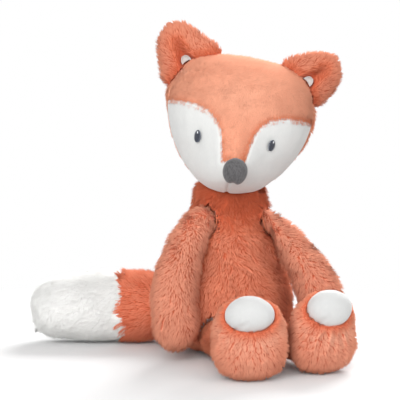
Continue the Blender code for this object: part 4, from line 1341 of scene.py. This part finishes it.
class FOX_OT_tail(bpy.types.Operator):
    """Sews the thick tail, its base combed to the tip, and its fluffy white end"""
    bl_idname = "fox.tail"
    bl_label = "Tail"
    bl_options = {"REGISTER", "UNDO"}

    def execute(self, context):
        skin = form("tail")
        high = step(-0.1, 0.7, skin.normals[:, 2]) * step(-0.150, -0.108, skin.points[:, 0])
        skin = Skin(skin.points + np.array((0.0, 0.0, 0.0036)) * high[:, None], skin.quads)
        ends = {}
        for node in ("tail_base", "tail_tip"):
            points = node_points(node)
            faces = [tuple(face.vertices) for face in NODES[node].data.polygons]
            ends[node] = points.mean(axis=0), BVHTree.FromPolygons(points.tolist(), faces)
        (root, base), (heart, tip) = ends["tail_base"], ends["tail_tip"]
        way = unit(heart - root)
        centres = skin.centres()
        ragged = centres + way * (0.0035 * ripple(centres, 0.007, 93))[:, None]
        white = np.array([tip.find_nearest(c)[3] <= base.find_nearest(c)[3] for c in ragged.tolist()])
        near = around("tail")
        furry(
            "tail_base", skin.part(~white), Pile(settings().plush_length * 1.1, swirl=0.55, lean=0.78),
            straight(way), 91, "tail", ("tail_base",), fur="tail_plush", near=near,
        )

        def nap(places, normals):
            """To the tip and down, and outward at its end."""
            return unit(0.3 * unit(places - heart) + 0.7 * way + np.array((0.0, 0.0, -0.7)))

        pile = Pile(
            settings().tip_length, spacing=0.0009, lean=1.33, swirl=0.35, clump=0.0035, pull=0.12, calm=1.0)
        furry(
            "tail_tip", skin.part(white), pile, nap, 92, "tail", ("tail_tip",), fur="white_plush",
            under="white_backing", slot="white_fur", near=near,
        )
        return {"FINISHED"}


class FOX_OT_stage(bpy.types.Operator):
    """Sets the pale floor, the soft lights and the camera"""
    bl_idname = "fox.stage"
    bl_label = "Stage"
    bl_options = {"REGISTER", "UNDO"}

    def execute(self, context):
        scene = bpy.context.scene
        floor = bpy.data.objects.new("floor", plain_mesh(
            "floor", ((-4, -4, 0), (4, -4, 0), (4, 8, 0), (-4, 8, 0)), ((0, 1, 2, 3),)))
        bpy.context.collection.objects.link(floor)
        paper = Finish("pale_floor")
        diffuse = paper.add("ShaderNodeBsdfDiffuse", None, {"Color": (0.72, 0.72, 0.72, 1.0)})
        seen = paper.add("ShaderNodeLightPath", output="Is Camera Ray")
        mirrored = paper.add("ShaderNodeLightPath", output="Is Glossy Ray")
        glow = paper.add("ShaderNodeEmission", None, {"Color": (1.0, 1.0, 1.0, 1.0), "Strength": seen + mirrored})
        ends = {0: paper.add("ShaderNodeTexCoord", output="Object"), 1: (-0.09, -0.03, 0.0)}
        far = paper.add("ShaderNodeVectorMath", {"operation": "DISTANCE"}, ends, "Value")
        away = paper.add("ShaderNodeMapRange", {"interpolation_type": "SMOOTHSTEP"}, {
            "Value": far, "From Min": 0.20, "From Max": 0.44, "To Min": 0.0, "To Max": 1.0})
        both = paper.add("ShaderNodeMixShader", None, {0: away, 1: diffuse, 2: glow})
        paper.links.new(both.socket, paper.nodes["Material Output"].inputs["Surface"])
        floor.data.materials.append(paper.material)

        world = bpy.data.worlds.new("studio")
        scene.world = world
        world.use_nodes = True
        nodes, links = world.node_tree.nodes, world.node_tree.links
        path = nodes.new("ShaderNodeLightPath")
        share = nodes.new("ShaderNodeMath")
        share.operation, share.use_clamp = "ADD", True
        links.new(path.outputs["Is Camera Ray"], share.inputs[0])
        links.new(path.outputs["Is Glossy Ray"], share.inputs[1])
        blend = nodes.new("ShaderNodeMix")
        blend.data_type = "FLOAT"
        blend.inputs[2].default_value = 0.64
        blend.inputs[3].default_value = 1.0
        links.new(share.outputs[0], blend.inputs[0])
        links.new(blend.outputs[0], nodes["Background"].inputs["Strength"])
        nodes["Background"].inputs["Color"].default_value = (1.0, 1.0, 1.0, 1.0)

        for name, place, size, power in (
            ("key", (-0.80, -1.35, 0.72), 1.2, 29.0),
            ("fill", (1.00, -1.30, 0.55), 1.2, 9.5),
            ("back", (0.70, 0.88, 0.90), 0.9, 30.0),
        ):
            lamp = bpy.data.lights.new(name, "AREA")
            lamp.size, lamp.energy = size, power
            light = bpy.data.objects.new(name, lamp)
            light.location = place
            light.rotation_euler = (Vector(place) - Vector((-0.02, 0.0, 0.13))).to_track_quat("Z", "Y").to_euler()
            bpy.context.collection.objects.link(light)

        turn, rise, far, target = math.radians(-15.0), math.radians(5.5), 1.25, Vector((-0.028, 0.008, 0.137))
        way = Vector((math.sin(turn) * math.cos(rise), -math.cos(turn) * math.cos(rise), math.sin(rise)))
        lens = bpy.data.cameras.new("camera")
        lens.lens, lens.sensor_width = 125.0, 36.0
        lens.clip_start, lens.clip_end = 0.05, 30.0
        camera = bpy.data.objects.new("camera", lens)
        camera.location = target + way * far
        camera.rotation_euler = way.to_track_quat("Z", "Y").to_euler()
        bpy.context.collection.objects.link(camera)
        scene.camera = camera
        scene.view_settings.view_transform = "Standard"
        return {"FINISHED"}


MAKERS = (
    FOX_OT_torso, FOX_OT_fillings, FOX_OT_threads, FOX_OT_head, FOX_OT_cheeks, FOX_OT_nose, FOX_OT_eyes,
    FOX_OT_ears, FOX_OT_arms, FOX_OT_legs, FOX_OT_feet, FOX_OT_toes, FOX_OT_tail, FOX_OT_stage,
)


class FOX_PT_panel(bpy.types.Panel):
    """Lists the pieces of the plush fox with their sizes and colours"""
    bl_idname = "FOX_PT_panel"
    bl_label = "Plush Fox"
    bl_space_type = "VIEW_3D"
    bl_region_type = "UI"
    bl_category = "Plush Fox"

    def draw(self, context):
        for maker in MAKERS:
            self.layout.operator(maker.bl_idname)
        for key in FoxSettings.__annotations__:
            self.layout.prop(context.scene.plush_fox, key)


def register():
    for made in (FoxSettings, *MAKERS, FOX_PT_panel):
        bpy.utils.register_class(made)
    bpy.types.Scene.plush_fox = PointerProperty(type=FoxSettings)


def unregister():
    del bpy.types.Scene.plush_fox
    for made in reversed((FoxSettings, *MAKERS, FOX_PT_panel)):
        bpy.utils.unregister_class(made)


def main():
    """Makes the whole fox."""
    register()
    for maker in MAKERS:
        getattr(bpy.ops.fox, maker.bl_idname.split(".")[1])()


if __name__ == "__main__":
    main()
